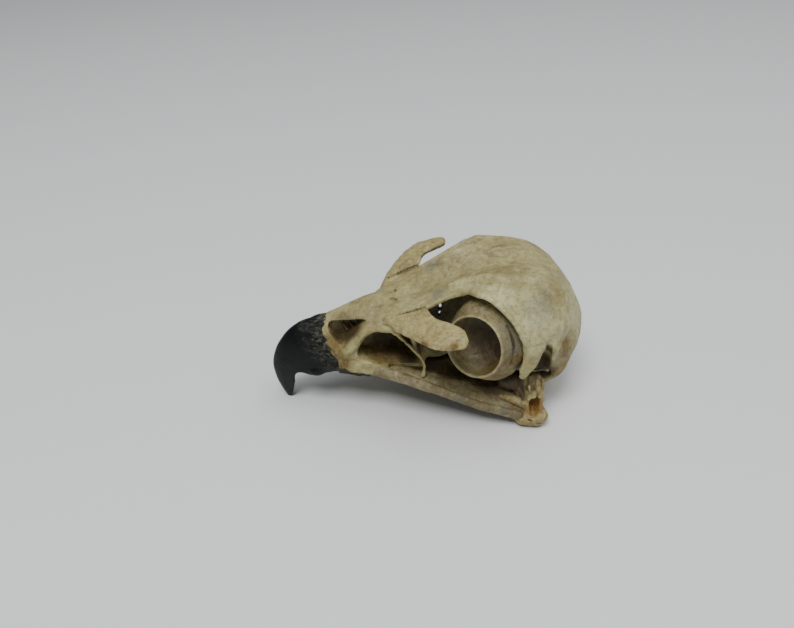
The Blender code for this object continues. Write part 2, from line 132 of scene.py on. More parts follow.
class Clay:
    """A block of small cubes, each holding its distance to the surface in mm, negative inside."""

    def __init__(self, low, high, cell):
        self.low, self.cell = np.array(low, float), cell
        counts = np.ceil((np.array(high) - self.low) / cell).astype(int) + 1
        self.field = np.full(counts, FAR, np.float32)

    def near(self, low, high):
        """The cubes between two corners, and their coordinates."""
        first = np.floor((np.array(low) - self.low) / self.cell).astype(int) - 1
        last = np.ceil((np.array(high) - self.low) / self.cell).astype(int) + 2
        cut = tuple(slice(max(0, a), max(0, min(b, n))) for a, b, n in zip(first, last, self.field.shape))
        lines = [self.low[i] + self.cell * np.arange(cut[i].start, cut[i].stop) for i in range(3)]
        return cut, np.ix_(*[line.astype(np.float32) for line in lines])

    def everywhere(self):
        """The coordinates of all cubes."""
        return self.near(self.low, self.low + self.cell * np.array(self.field.shape))[1]

    def distances(self, shape, soft):
        """The cubes that a shape can touch, and how far each is from the shape."""
        low, high, distance = shape
        cut, (x, y, z) = self.near(np.array(low) - soft - 1, np.array(high) + soft + 1)
        return cut, distance(x, y, z)

    def add(self, shape, soft):
        """Melts a shape into the clay, over a width of soft mm."""
        cut, gap = self.distances(shape, soft)
        self.field[cut] = smooth_min(self.field[cut], gap, soft)

    def carve(self, shape, soft):
        """Takes a shape out of the clay and rounds the lip of the hole by soft mm."""
        cut, gap = self.distances(shape, soft)
        self.field[cut] = -smooth_min(-self.field[cut], gap, soft)

    def model(self, steps):
        """Makes steps in turn. Each is (ADD or CARVE, what it is, its shape, how soft its join is in mm)."""
        for change, what, shape, soft in steps:
            change(self, shape, soft)
        print("modelled:", ", ".join(what for change, what, shape, soft in steps))


ADD, CARVE = Clay.add, Clay.carve

# %% [markdown]
# The shapes are few: an egg for hollows and knobs, a rod with a changing thickness for struts and ridges, a
# plate cut from a side view for walls and windows, and a loft through cross-sections for what is none of
# these. The loft is meshed first, and Blender's bundled OpenVDB turns the mesh into distances.

# %% Egg and rod
NOT_ZERO = 1e-6          # keeps a division from failing where a distance is nothing


def egg(centre, radii, lean=0.0):
    """An ellipsoid whose rear end is turned down by lean degrees."""
    centre, radii = np.array(centre, float), np.array(radii, float)
    reach = np.array([max(radii[0], radii[2]), radii[1], max(radii[0], radii[2])]) if lean else radii
    cos, sin = math.cos(math.radians(lean)), math.sin(math.radians(lean))

    def distance(x, y, z):
        x, y, z = x - centre[0], y - centre[1], z - centre[2]
        x, z = x * cos - z * sin, x * sin + z * cos
        near = np.sqrt(sum((place / radius) ** 2 for place, radius in zip((x, y, z), radii))) + NOT_ZERO
        steep = np.sqrt(sum((place / radius**2) ** 2 for place, radius in zip((x, y, z), radii))) + NOT_ZERO
        return np.clip(near * (near - 1) / steep, -FAR, FAR)

    return centre - reach, centre + reach, distance


def curve_through(points, steps, closed=False):
    """The points with steps - 1 more between each two, on a smooth curve."""
    points = np.array(points, float)
    count = len(points)
    fine = []
    for i in range(count if closed else count - 1):
        near = [(i + k) % count if closed else min(max(i + k, 0), count - 1) for k in (-1, 0, 1, 2)]
        before, start, end, after = points[near]
        for part in np.arange(steps) / steps:
            fine.append(0.5 * (2 * start + (end - before) * part
                               + (2 * before - 5 * start + 4 * end - after) * part**2
                               + (3 * start - before - 3 * end + after) * part**3))
    if not closed:
        fine.append(points[-1])
    return np.array(fine)


def rod(stations, flat=1.0, steps=4):
    """A rod through stations of (x, out, up, radius). With flat below 1 it is that much thinner across."""
    path = curve_through(stations, steps)
    scale = np.array((1, flat, 1))
    reach = path[:, 3:]

    def distance(x, y, z):
        nearest = np.full(np.broadcast_shapes(x.shape, y.shape, z.shape), FAR * 2, np.float32)
        for first, last in zip(path, path[1:]):
            start, along = first[:3] / scale, (last[:3] - first[:3]) / scale
            offset = (x - start[0], y / flat - start[1], z - start[2])
            length = max(float(along @ along), NOT_ZERO)
            part = np.clip(sum(o * a for o, a in zip(offset, along)) / length, 0, 1)
            gap = np.sqrt(sum((o - a * part) ** 2 for o, a in zip(offset, along)))
            nearest = np.minimum(nearest, (gap - first[3] - (last[3] - first[3]) * part) * min(flat, 1))
        return np.clip(nearest, -FAR, FAR)

    return (path[:, :3] - reach).min(0), (path[:, :3] + reach).max(0), distance


# %% Plate, turned shape and loft
LEAST_LENGTH, LEAST_RISE = 1e-9, 1e-12       # these keep divisions from failing too
ANYWHERE = 1e6           # farther than anything


def to_outline(line, u, v):
    """The distance of each place (u, v) to a closed outline, negative inside."""
    nearest = np.full(np.broadcast_shapes(u.shape, v.shape), ANYWHERE, np.float32)
    inside = np.zeros(nearest.shape, bool)
    for (au, av), (bu, bv) in zip(line, np.roll(line, -1, 0)):
        part = np.clip(((u - au) * (bu - au) + (v - av) * (bv - av))
                       / ((bu - au) ** 2 + (bv - av) ** 2 + LEAST_LENGTH), 0, 1)
        nearest = np.minimum(nearest, (u - au - part * (bu - au)) ** 2 + (v - av - part * (bv - av)) ** 2)
        crosses = u < (bu - au) * (v - av) / (bv - av + LEAST_RISE) + au
        inside ^= ((av > v) != (bv > v)) & crosses
    return np.where(inside, -1, 1) * np.sqrt(nearest)


def plate(outline, inner, outer, steps=6):
    """A plate with a smooth outline in the side view (x, up), from inner to outer off the middle plane."""
    line = curve_through(outline, steps, closed=True)
    low = (line[:, 0].min(), inner, line[:, 1].min())
    high = (line[:, 0].max(), outer, line[:, 1].max())

    def distance(x, y, z):
        flat = to_outline(line, x[:, 0, 0][:, None], z[0, 0, :][None, :])
        side = np.abs(y - (inner + outer) / 2) - (outer - inner) / 2
        return np.clip(np.maximum(flat[:, None, :], side), -FAR, FAR)

    return low, high, distance


def turned(profile, centre, axis, steps=4):
    """A shape turned round an axis through the centre, from its profile of (radius, height)."""
    line = curve_through(profile, steps)
    reach = np.linalg.norm(line, axis=1).max()
    centre, axis = np.array(centre), np.array(axis)

    def distance(x, y, z):
        offset = (x - centre[0], y - centre[1], z - centre[2])
        height = sum(o * a for o, a in zip(offset, axis))
        radius = np.sqrt(np.maximum(sum(o * o for o in offset) - height**2, 0))
        return np.clip(to_outline(line, radius, height), -FAR, FAR)

    return centre - reach, centre + reach, distance


def loft(clay, rings):
    """The distances in the clay's block to a closed body through rings of points."""
    rings = np.array(rings, float)
    count, around = rings.shape[:2]
    points = np.concatenate([rings.reshape(-1, 3), [rings[0].mean(0), rings[-1].mean(0)]])
    i, k = np.meshgrid(np.arange(count - 1), np.arange(around), indexing="ij")
    after = (k + 1) % around
    quads = np.stack([i * around + k, i * around + after, (i + 1) * around + after, (i + 1) * around + k], -1)
    k, after, end = k[0], after[0], (count - 1) * around
    caps = [np.stack([np.full(around, len(points) - 2), after, k], -1),
            np.stack([np.full(around, len(points) - 1), end + k, end + after], -1)]
    place = openvdb.createLinearTransform(voxelSize=clay.cell)
    place.postTranslate(tuple(clay.low))
    grid = openvdb.FloatGrid.createLevelSetFromPolygons(
        points.astype(np.float32), triangles=np.concatenate(caps).astype(np.uint32),
        quads=quads.reshape(-1, 4).astype(np.uint32), transform=place,
        exBandWidth=FAR / clay.cell, inBandWidth=FAR / clay.cell)
    made = np.empty(clay.field.shape, np.float32)
    grid.copyToArray(made, ijk=(0, 0, 0))
    return made


# %% [markdown]
# ## The cranium and the bill
#
# The vault of a hawk's skull is wide and domed behind, where it holds the brain and the jaw muscles, and
# narrows to a flat forehead between the eyes. Eighteen cross-sections give it its form. Each has the height
# of the middle line, a shoulder, the widest point of the flank, a hip, and the underside. The bill's
# sections lean forward more and more, until those of the hook lie flat. Only half of the skull is made: it
# is mirrored when its surface is drawn, and the grain that makes its two sides differ comes after that.

# %% The cross-sections
CRANIUM = [  # x, middle, shoulder (out, up), flank (out, up), hip (out, up), underside
    (-15.6, 27.9, (2.2, 27.1), (4.6, 25.0), (4.0, 24.6), 24.4),
    (-12.7, 29.0, (3.6, 27.8), (6.4, 25.9), (5.0, 25.2), 25.0),
    (-9.0, 29.2, (5.0, 29.0), (9.0, 27.7), (6.5, 26.0), 25.4),
    (-5.0, 30.0, (5.6, 30.2), (9.8, 29.5), (7.5, 27.4), 26.4),
    (-1.0, 31.3, (6.0, 31.8), (10.2, 31.2), (8.0, 29.2), 28.0),
    (3.3, 33.0, (6.2, 33.8), (9.9, 33.5), (8.0, 31.4), 30.0),
    (8.0, 35.0, (6.8, 36.0), (11.0, 35.6), (9.0, 33.4), 32.4),
    (10.0, 35.8, (7.5, 36.7), (11.9, 36.0), (10.0, 33.4), 32.2),
    (12.0, 36.6, (8.4, 37.4), (15.4, 34.9), (14.0, 24.0), 22.0),
    (15.5, 37.8, (9.6, 38.2), (19.0, 31.6), (15.0, 19.0), 15.5),
    (19.0, 38.6, (10.6, 37.9), (20.3, 27.4), (14.4, 16.0), 12.5),
    (23.0, 38.8, (11.0, 37.3), (20.6, 25.0), (13.8, 13.6), 11.0),
    (27.0, 38.2, (11.5, 36.2), (19.8, 24.5), (13.2, 12.6), 10.4),
    (31.0, 36.0, (11.2, 33.8), (17.6, 23.5), (12.4, 13.0), 10.6),
    (34.6, 32.6, (9.4, 31.0), (13.8, 22.0), (10.4, 13.8), 11.4),
    (37.6, 28.4, (6.2, 27.2), (8.8, 20.4), (6.8, 14.8), 12.8),
    (39.6, 24.0, (3.0, 23.4), (4.2, 19.4), (3.4, 16.4), 15.0),
    (40.4, 20.8, (1.2, 20.6), (1.8, 19.2), (1.2, 18.0), 17.8),
]
BILL = [  # ridge (x, up), cutting edge (x, up), half width there
    ((-9.0, 29.0), (-9.0, 13.0), 9.6),
    ((-13.0, 29.2), (-13.0, 12.0), 10.0),
    ((-17.5, 28.0), (-16.8, 12.2), 9.2),
    ((-21.5, 26.3), (-20.0, 12.3), 8.3),
    ((-25.2, 24.8), (-23.2, 12.1), 7.2),
    ((-29.3, 23.8), (-27.0, 10.7), 5.9),
    ((-33.0, 22.3), (-30.3, 9.5), 4.8),
    ((-36.3, 19.3), (-32.8, 8.6), 3.9),
    ((-38.7, 15.4), (-34.2, 7.2), 3.1),
    ((-39.9, 11.0), (-34.9, 5.5), 2.4),
    ((-39.5, 6.4), (-35.3, 3.8), 1.8),
    ((-38.4, 2.8), (-35.8, 1.6), 1.2),
    ((-37.3, 0.25), (-36.3, 0.0), 0.6),
]
BILL_SECTION = [(0.0, 0.0), (0.10, 0.42), (0.38, 0.80), (0.72, 0.97), (0.98, 1.0), (0.90, 0.55), (0.84, 0.0)]
AROUND, ALONG = 8, 6     # finer points between those of a section, and between sections


def refine(rings):
    """Rings that are smooth round and along, from rings with few points."""
    around = [curve_through(ring, AROUND, closed=True) for ring in rings]
    return np.stack([curve_through(column, ALONG) for column in zip(*around)], 1)


def mirrored_ring(half):
    """A whole ring from its half, which starts and ends on the middle plane."""
    return half + [(x, -out, up) for x, out, up in reversed(half[1:-1])]


def cranium_rings():
    """The cranium's cross-sections as fine rings."""
    return refine([mirrored_ring([(x, 0.0, mid), (x, *shoulder), (x, *flank), (x, *hip), (x, 0.0, keel)])
                   for x, mid, shoulder, flank, hip, keel in CRANIUM])


def bill_rings():
    """The bill's leaning cross-sections as fine rings, each from its ridge down to its cutting edge."""
    return refine([mirrored_ring([(ridge[0] + (edge[0] - ridge[0]) * down, wide * half,
                                   ridge[1] + (edge[1] - ridge[1]) * down) for down, wide in BILL_SECTION])
                   for ridge, edge, half in BILL])


# %% [markdown]
# The two lofts now become one block of clay. Its cubes are a fifth of a millimetre wide, because the
# thinnest struts are only three of them thick. Cubes of half that width would hardly look better and
# would need eight times the memory.

# %% The skull's clay
FINE, MEDIUM = 0.2, 0.22     # mm: the cubes of the pieces with and without thin edges
BILL_BLEND = 1.6         # mm over which the bill and the cranium melt together

skull = Clay((-27, 0, 8), (42, 22.6, 41), FINE)
skull.field = smooth_min(loft(skull, cranium_rings()), loft(skull, bill_rings()), BILL_BLEND)
print("the skull's block has", skull.field.size, "cubes")

# %% [markdown]
# ## Carving the skull
#
# The orbit is the great hollow for the eye. Behind its thin rim it is an egg that reaches almost to the
# middle of the head, where only a thin wall, the septum, parts it from the other eye's. Below it is open.
# The temple behind it is drawn out into a long tongue, and behind the tongue are a cleft and the ear.

# %% The orbit, its walls and its rim
OUTSIDE = 34.0           # mm out, beyond everything
ORBIT_RIM = [  # (x, up) round the orbit in the side view, from its front over the top
    (-1.9, 25.0), (-0.4, 28.6), (3.6, 31.7), (8.0, 34.6), (10.6, 35.5), (12.8, 36.0), (15.9, 34.9),
    (19.3, 31.6), (21.2, 27.4), (22.3, 23.4), (22.0, 20.0), (21.2, 16.4), (22.0, 6.0), (8.0, 2.0),
    (-2.4, 8.0), (-2.4, 18.0)]
RIM_LIP = [  # (x, out, up) along the lip of the rim
    (-1.0, 9.6, 31.1), (3.3, 9.7, 33.5), (8.0, 10.6, 35.9), (10.4, 12.0, 36.5), (12.8, 14.0, 36.3),
    (15.9, 16.5, 34.6), (18.0, 17.9, 32.5), (19.7, 18.9, 30.2), (20.9, 19.6, 27.6), (21.9, 19.9, 24.6),
    (22.1, 20.1, 21.6), (21.3, 20.5, 18.8)]
RIM_RADIUS = 0.5
SEPTUM = [(-12.6, 27.0), (-12.6, 12.0), (-4.0, 10.4), (5, 9.8), (18, 9.4), (18, 36), (8, 33.0), (0, 29.6)]
WAY_BELOW = [(-9.4, 25.0), (-6, 26.2), (0, 28), (6, 30), (6, 8), (-4, 8), (-9.4, 8)]
BASE_BEAM = [(-10, 0, 17.4, 0.9), (2, 0, 14.4, 1.4), (15, 0, 12.0, 2.1), (25, 0, 12.6, 3.4)]

skull.model([
    (CARVE, "hollow of the eye", egg((10.8, 10.2, 21.4), (13.6, 11.2, 13.4)), 0.5),
    (CARVE, "outline of the rim", plate(ORBIT_RIM, 9.0, OUTSIDE), 0.5),
    (CARVE, "way to the palate", plate(WAY_BELOW, 2.5, OUTSIDE, steps=3), 1.0),
    (ADD, "septum", plate(SEPTUM, -1.0, 0.7, steps=3), 1.2),
    (ADD, "swelling ahead of the septum", egg((-6.4, 0, 22.2), (4.4, 2.6, 6.6), -10), 1.5),
    (ADD, "front wall", egg((-3.2, 5.2, 20.6), (1.2, 6.9, 9.0), -14), 1.0),
    (ADD, "inner wall", egg((1.4, 2.6, 16.4), (6.0, 4.6, 3.6), 6), 1.6),
    (ADD, "beam of the base", rod(BASE_BEAM), 1.0),
    (CARVE, "upper hole in the septum", egg((3.9, 0, 25.7), (0.5, 4.0, 1.0)), 0.15),
    (CARVE, "lower hole in the septum", egg((3.7, 0, 23.7), (0.42, 4.0, 0.84)), 0.15),
    (ADD, "lip of the rim", rod([(*place, RIM_RADIUS) for place in RIM_LIP]), 1.0),
])

# %% [markdown]
# The crown isn't a plain dome: a shallow trough runs along its middle between two low ridges. Behind the
# eye the temple is drawn out downwards into a long, flat tongue. Such forms could be pressed in by hand
# with a sculpt brush. A rod through a few places does the same, and it can still be measured and moved.

# %% The crown and the temple
CROWN_RIDGE = [(6.0, 6.8, 35.4, 0.8), (10.0, 8.2, 37.0, 0.9), (13.8, 9.6, 38.6, 1.2), (18.0, 10.0, 38.3, 0.9),
               (23.0, 10.2, 37.4, 0.9), (28.0, 10.2, 35.4, 0.9), (32.0, 9.4, 32.2, 0.8)]
CROWN_TROUGH = [(-4, 0, 35.1, 5), (3, 0, 37.8, 5.2), (12, 0, 41.9, 6.4), (20, 0, 44.2, 6.8),
                (27, 0, 44.4, 6.8), (33, 0, 41.2, 6)]      # a thick rod over the crown: its underside carves
TONGUE = [(24.4, 17.6, 28.0, 2.6), (24.1, 19.2, 24.6, 2.2), (23.5, 20.0, 21.6, 1.8), (22.4, 20.3, 19.2, 1.3),
          (21.5, 20.5, 17.4, 0.8)]
EAR_FOLD = [(32.6, 11.4, 21.0, 3.2), (32.0, 12.8, 17.4, 2.8), (31.4, 13.8, 14.8, 2.2),
            (30.9, 14.2, 13.2, 1.5)]
CLEFT = [(27.8, 19.4, 25.0, 0.5), (27.4, 18.4, 22.8, 1.1), (27.1, 17.2, 20.0, 1.7), (26.9, 15.6, 17.4, 1.8)]
VALLEY = [(28.0, 20.6, 26.4, 1.2), (31.2, 18.2, 25.0, 1.4), (35.0, 14.4, 22.6, 1.2)]

skull.model([
    (ADD, "ridges of the crown", rod(CROWN_RIDGE), 2.4),
    (CARVE, "trough of the crown", rod(CROWN_TROUGH), 1.8),
    (CARVE, "hollow behind the tongue", egg((27.4, 19.8, 14.0), (2.6, 5.6, 9.8), -8), 1.0),
    (ADD, "tongue of the temple", rod(TONGUE, flat=0.45), 0.7),
    (ADD, "fold behind the ear", rod(EAR_FOLD, flat=0.75), 1.2),
    (CARVE, "cleft", rod(CLEFT), 0.6),
    (CARVE, "valley behind the temple", rod(VALLEY), 2.4),
])

# %% [markdown]
# Behind the tongue lies the ear, a hole in a wide funnel of bone. Low on the back of the head is the
# round knob on which the neck turned, and above it the hole for the spinal cord. It is only a pocket
# here, since nothing beyond it can be seen.

# %% The ear and the back of the head
EAR_FLOOR = [(24.6, 15.8, 13.2, 0.8), (26.6, 15.6, 11.9, 0.8), (28.8, 15.0, 11.5, 0.7),
             (30.6, 14.4, 12.4, 0.7)]
EAR_STRUT = [(25.2, 16.6, 15.8, 0.35), (26.8, 16.8, 16.2, 0.3), (28.6, 16.2, 15.4, 0.4)]

skull.model([
    (ADD, "wall of the ear", egg((27.6, 11.4, 13.4), (3.4, 3.8, 2.8)), 0.8),
    (ADD, "floor of the ear", rod(EAR_FLOOR), 0.7),
    (CARVE, "hole of the ear", egg((28.2, 15.4, 13.5), (1.5, 3.0, 1.1), 10), 0.35),
    (ADD, "strut across the ear", rod(EAR_STRUT), 0.5),
    (ADD, "knob for the neck", egg((37.0, 0, 12.4), (1.7, 2.0, 1.7)), 0.6),
    (CARVE, "hole of the spinal cord", egg((39.4, 0, 14.8), (2.6, 3.6, 3.0), 35), 0.5),
])

# %% [markdown]
# The forehead is smooth. All that marks it are the two seams where the brow bones are fixed, which have
# opened a little as the bone dried, and a few holes for blood vessels. They could be painted, but a seam
# that is really cut catches its own shadow from every side. The same cut is made in the brow bone later.
# Its groove is also darkened with painted shade, in both bones.

# %% The forehead
SLIT = [(-9.6, 9.4, 28.2, 0.25), (-8.1, 9.5, 29.1, 0.3), (-6.2, 9.7, 29.9, 0.45), (-3.4, 10.0, 30.9, 0.6),
        (-1.2, 10.1, 31.5, 0.6)]      # the seam between the forehead and the brow
SLIT_EDGE = 0.15
VESSEL_HOLES = [  # x, out, up, radius
    (-8.3, 1.4, 29.5, 0.6), (-7.7, 2.1, 29.5, 0.6), (-7.8, 2.8, 29.5, 0.4), (0.3, 5.6, 32.6, 0.2),
    (-12.5, 4.6, 28.4, 0.16), (25.5, 14.6, 33.8, 0.14), (31.6, 13.0, 30.0, 0.18)]

skull.carve(rod(SLIT), SLIT_EDGE)
for x, out, up, radius in VESSEL_HOLES:
    skull.carve(egg((x, out, up), (radius, radius * 0.8, radius * 1.6)), 0.2)
print("the forehead has", len(VESSEL_HOLES), "small holes on each side")

# %% [markdown]
# The side of the bill has two windows. The front one is the nostril, and the larger one behind it was
# filled by an air sac. A rounded bar of bone stands between them. A thin lip runs along the top of the rear
# window and then leaves the brow as a free rod that comes down to the cheek.

# %% The nostril and the window
NOSTRIL = [(-24.4, 24.0), (-19.7, 25.2), (-15.2, 25.9), (-16.7, 23.6), (-18.9, 21.6), (-21.2, 19.7),
           (-24.0, 21.5)]
WINDOW = [(-17.6, 18.0), (-17.0, 20.1), (-15.0, 22.9), (-12.5, 24.3), (-9.5, 24.4), (-7.1, 23.8),
          (-4.7, 22.0), (-2.9, 18.9), (-1.8, 16.1), (-2.5, 14.6), (-4.9, 15.0), (-8.0, 14.9),
          (-11.1, 15.0), (-14.1, 15.8), (-16.8, 16.6)]
FLOOR_PLATE = [(-22, 15.6), (-14, 15.0), (-6, 14.4), (-2, 13.4), (-3, 12.2), (-8, 12.6), (-14, 13),
               (-22, 13.4)]
BAR = [(-20.4, 7.0, 18.0, 1.7), (-18.0, 7.0, 21.0, 1.5), (-15.6, 6.5, 23.3, 1.4), (-12.4, 7.2, 24.1, 1.4),
       (-10.0, 8.4, 25.3, 1.4), (-8.0, 9.4, 26.8, 1.3)]
WINDOW_LIP = [(-20.6, 8.3, 17.6, 0.35), (-18.4, 8.5, 19.9, 0.45), (-16.4, 8.3, 22.9, 0.45),
              (-14.3, 7.6, 24.4, 0.4), (-12.4, 8.2, 25.0, 0.4), (-11.2, 9.0, 25.6, 0.35),
              (-10.0, 9.7, 25.8, 0.35), (-9.0, 10.1, 25.4, 0.4), (-8.2, 10.5, 24.7, 0.4)]

skull.model([
    (ADD, "bar between the windows", rod(BAR), 1.2),
    (CARVE, "nostril", plate(NOSTRIL, 1.2, 12), 0.4),
    (CARVE, "rear window", plate(WINDOW, 2.2, 16), 0.5),
    (CARVE, "hollow inside it", egg((-10.4, 5.2, 18.9), (6.6, 4.0, 5.0), 6), 0.4),
    (ADD, "floor of the nose", plate(FLOOR_PLATE, -1, 8.6), 0.8),
    (ADD, "swelling on the floor", egg((-10.4, 5.6, 13.8), (6.0, 2.6, 1.9), 4), 0.8),
    (ADD, "lip of the window", rod(WINDOW_LIP), 0.5),
])

# %% [markdown]
# Inside the nostril the edges of thin scrolls of bone can be seen, which once carried the moist skin of
# the nose. They are rolled sheets, as thin as paper. Only their edges show, so bent rods are enough.

# %% The scrolls of the nose
SCROLLS = [  # x, up, radius and reach of the thin scrolls inside the nose
    (-21.4, 22.9, 0.3, 2.2), (-19.6, 23.2, 0.25, 2.6), (-18.2, 23.8, 0.3, 2.4), (-17.0, 24.4, 0.25, 2.2)]
for x, up, radius, wide in SCROLLS:
    skull.add(rod([(x, 1.0, up + 0.8, radius), (x + 0.7, wide * 0.7, up - 0.5, radius * 0.8),
                   (x + 1.5, wide, up - 1.6, radius * 0.8)]), 0.4)
print("the nose has", len(SCROLLS), "scrolls on each side")

# %% [markdown]
# ## From clay to a bone
#
# The surface comes out of the field as four-cornered faces. Loose crumbs are dropped, and a grain of smooth
# random bumps makes the two sides of the skull differ. What the finish needs to know is measured here too
# and kept on the mesh as attributes: how hollow each place is, from the field itself, for the painted shade
# in hollows and creases and the painted highlight on ridges, and how near it is to places where the real
# skull is stained or where shade is painted. A blurred copy of the field is negative in a hollow, where there
# is bone all round, and positive on a ridge.

# %% Reading the clay
CREASE_REACH, HOLLOW_REACH = 0.5, 2.0    # mm: how far the blur looks for narrow creases and for wide hollows
LATTICE_SIDE = 64
ALWAYS_POSITIVE = 1000   # places are moved by this before they are looked up in the lattice
SEED_STEP = 17.3         # and by this for each seed, so that no two grains are alike
LATTICE = np.random.default_rng(7).uniform(-1, 1, (LATTICE_SIDE,) * 3).astype(np.float32)


def blurred(field, reach):
    """The field averaged over reach cubes each way, twice."""
    for axis in (0, 1, 2, 0, 1, 2):
        edge = [(reach + 1, reach) if axis == i else (0, 0) for i in range(3)]
        total = np.cumsum(np.pad(field, edge, mode="edge"), axis, dtype=np.float64)
        wide = 2 * reach + 1
        later = np.take(total, range(wide, total.shape[axis]), axis)
        field = ((later - np.take(total, range(total.shape[axis] - wide), axis)) / wide).astype(np.float32)
    return field


def read(clay, values, points):
    """The block's values at any points, between the cubes too."""
    place = (points - clay.low) / clay.cell
    cell = np.clip(np.floor(place).astype(int), 0, np.array(values.shape) - 2)
    part = place - cell
    total = 0
    for corner in itertools.product((0, 1), repeat=3):
        weight = np.prod(np.where(corner, part, 1 - part), 1)
        total = total + weight * values[tuple((cell + corner).T)]
    return total


def grain(points, size, seed):
    """Smooth random values from -1 to 1 at the points, in bumps about size mm wide."""
    place = points / size + ALWAYS_POSITIVE + SEED_STEP * seed
    cell = np.floor(place).astype(int)
    part = place - cell
    part = part * part * (3 - 2 * part)
    total = 0
    for corner in itertools.product((0, 1), repeat=3):
        weight = np.prod(np.where(corner, part, 1 - part), 1)
        total = total + weight * LATTICE[tuple(((cell + corner) % LATTICE_SIDE).T)]
    return total


def bumps(points, kinds):
    """Several grains on top of each other. Each kind is (height and width in mm, seed)."""
    return sum(height * grain(points, width, seed) for height, width, seed in kinds)


# %% [markdown]
# Blender could draw these faces too, from a volume object with a modifier. Here OpenVDB does it, because
# the points come back as arrays, which can be measured and moved before there is any mesh. The way out of
# the surface at each point comes from the faces round it.

# %% Drawing the surface
def largest_island(points, quads):
    """Drops every piece of surface but the one with the most points."""
    label = np.arange(len(points))
    pairs = np.concatenate([quads[:, (0, 1)], quads[:, (1, 2)], quads[:, (2, 3)]])
    while True:
        least = np.minimum(label[pairs[:, 0]], label[pairs[:, 1]])
        fresh = label.copy()
        np.minimum.at(fresh, pairs[:, 0], least)
        np.minimum.at(fresh, pairs[:, 1], least)
        fresh = fresh[fresh]
        if (fresh == label).all():
            break
        label = fresh
    keep = label == np.bincount(label).argmax()
    number = np.cumsum(keep) - 1
    return points[keep], number[quads[keep[quads[:, 0]]]]


def normals_of(points, quads):
    """The way out of the surface at each point: the mean of the faces round it, by their size."""
    corners = points[quads]
    facing = np.cross(corners[:, 2] - corners[:, 0], corners[:, 3] - corners[:, 1])
    total = np.zeros_like(points)
    for k in range(4):
        for axis in range(3):
            total[:, axis] += np.bincount(quads[:, k], facing[:, axis], len(points))
    return total / (np.linalg.norm(total, axis=1, keepdims=True) + LEAST_RISE)


def pushed(points, quads, push):
    """The points moved by push mm along their normals."""
    return points + normals_of(points, quads) * push[:, None]


def surface(clay, mirror=False):
    """Points, faces and the hollow measures of the clay's surface. With mirror, the clay is half of it."""
    whole = clay
    if mirror:
        whole = Clay(clay.low, clay.low, clay.cell)
        whole.field = np.concatenate([clay.field[:, :0:-1], clay.field], 1)
        whole.low = clay.low * (1, 0, 1) + (0, -(clay.field.shape[1] - 1) * clay.cell, 0)
    grid = openvdb.FloatGrid(FAR)
    grid.copyFromArray(whole.field)
    points, quads = grid.convertToQuads(0.0)
    points, quads = largest_island(points.astype(float), quads.astype(int))
    points = whole.low + points * whole.cell
    if (normals_of(points, quads) * (points - points.mean(0))).sum() < 0:
        quads = quads[:, ::-1]
    marks = {mark: -read(whole, blurred(whole.field, round(reach / clay.cell)), points)
             for mark, reach in (("crease", CREASE_REACH), ("hollow", HOLLOW_REACH))}
    return points, quads, marks


# %% [markdown]
# Only now a Blender mesh is made. All its points are written at once, for a loop over hundreds of
# thousands of them would be slow. A stain is a ball in space with a soft edge. It colours whatever bone
# lies in it, so a few balls fill a hollow.

# %% A bone from its surface
def mesh_piece(name, points, quads, marks, look):
    """An object in the frame from places in mm, with the marks as attributes."""
    mesh = bpy.data.meshes.new(name)
    mesh.vertices.add(len(points))
    mesh.vertices.foreach_set("co", row(points).ravel())
    mesh.loops.add(quads.size)
    mesh.loops.foreach_set("vertex_index", quads.ravel().astype(np.int32))
    mesh.polygons.add(len(quads))
    mesh.polygons.foreach_set("loop_start", np.arange(0, quads.size, 4, dtype=np.int32))
    mesh.update(calc_edges=True)
    mesh.shade_smooth()
    for mark, values in marks.items():
        layer = mesh.attributes.new(mark, "FLOAT", "POINT")
        layer.data.foreach_set("value", np.asarray(values, np.float32))
    mesh.materials.append(look)
    piece = bpy.data.objects.new(name, mesh)
    bpy.context.scene.collection.objects.link(piece)
    print(name, len(quads), "faces")
    return piece


def near_places(points, places):
    """From 0 to 1: how near each point is to one of the places (x, out, up, radius), whose edges are soft."""
    folded = points * (1, 0, 1) + np.abs(points) * (0, 1, 0)
    closest = np.zeros(len(points))
    for x, out, up, radius in places:
        gap = np.linalg.norm(folded - (x, out, up), axis=1) / radius
        closest = np.maximum(closest, np.clip(1.5 - gap, 0, 1))
    return closest * closest * (3 - 2 * closest)


# %% [markdown]
# ## Dry bone
#
# Old bone is a cream, chalky solid: matt, with a faint sheen where it was handled, and very slightly
# translucent. Its colour is not even. Fat and soil have left tan and grey clouds, blood vessels have left
# fine dark dots, and in the hollows dried brown tissue clings to it. Hollows and creases are darkened with
# painted shade as well, and ridges are lightened with a painted highlight. The colour is laid on in coats,
# each with its own mask: a procedural texture, an attribute measured above, or the two multiplied.

# %% Nodes and colours
PER_MM = 1 / MM          # object coordinates are in metres, so a scale of PER_MM repeats every millimetre


def linear(code):
    """The linear colour of an sRGB hex code."""
    values = [int(code[i:i + 2], 16) / 255 for i in (1, 3, 5)]
    return (*[v / 12.92 if v <= 0.04045 else ((v + 0.055) / 1.055) ** 2.4 for v in values], 1.0)


def node(tree, kind, links=(), **settings):
    """Adds a node. Each of the links is (input, value or output socket)."""
    made = tree.nodes.new(kind)
    for name, value in settings.items():
        setattr(made, name, value)
    for name, value in dict(links).items():
        if isinstance(value, bpy.types.NodeSocket):
            tree.links.new(value, made.inputs[name])
        else:
            made.inputs[name].default_value = value
    return made


def painted(tree, ground, coats):
    """The ground colour under coats of (hex colour, mask socket, strength)."""
    colour = ground
    for code, mask, strength in coats:
        amount = node(tree, "ShaderNodeMath", {0: mask, 1: strength}, operation="MULTIPLY", use_clamp=True)
        coat = node(tree, "ShaderNodeMix", {0: amount.outputs[0], 6: colour, 7: linear(code)},
                    data_type="RGBA")
        colour = coat.outputs[2]
    return colour


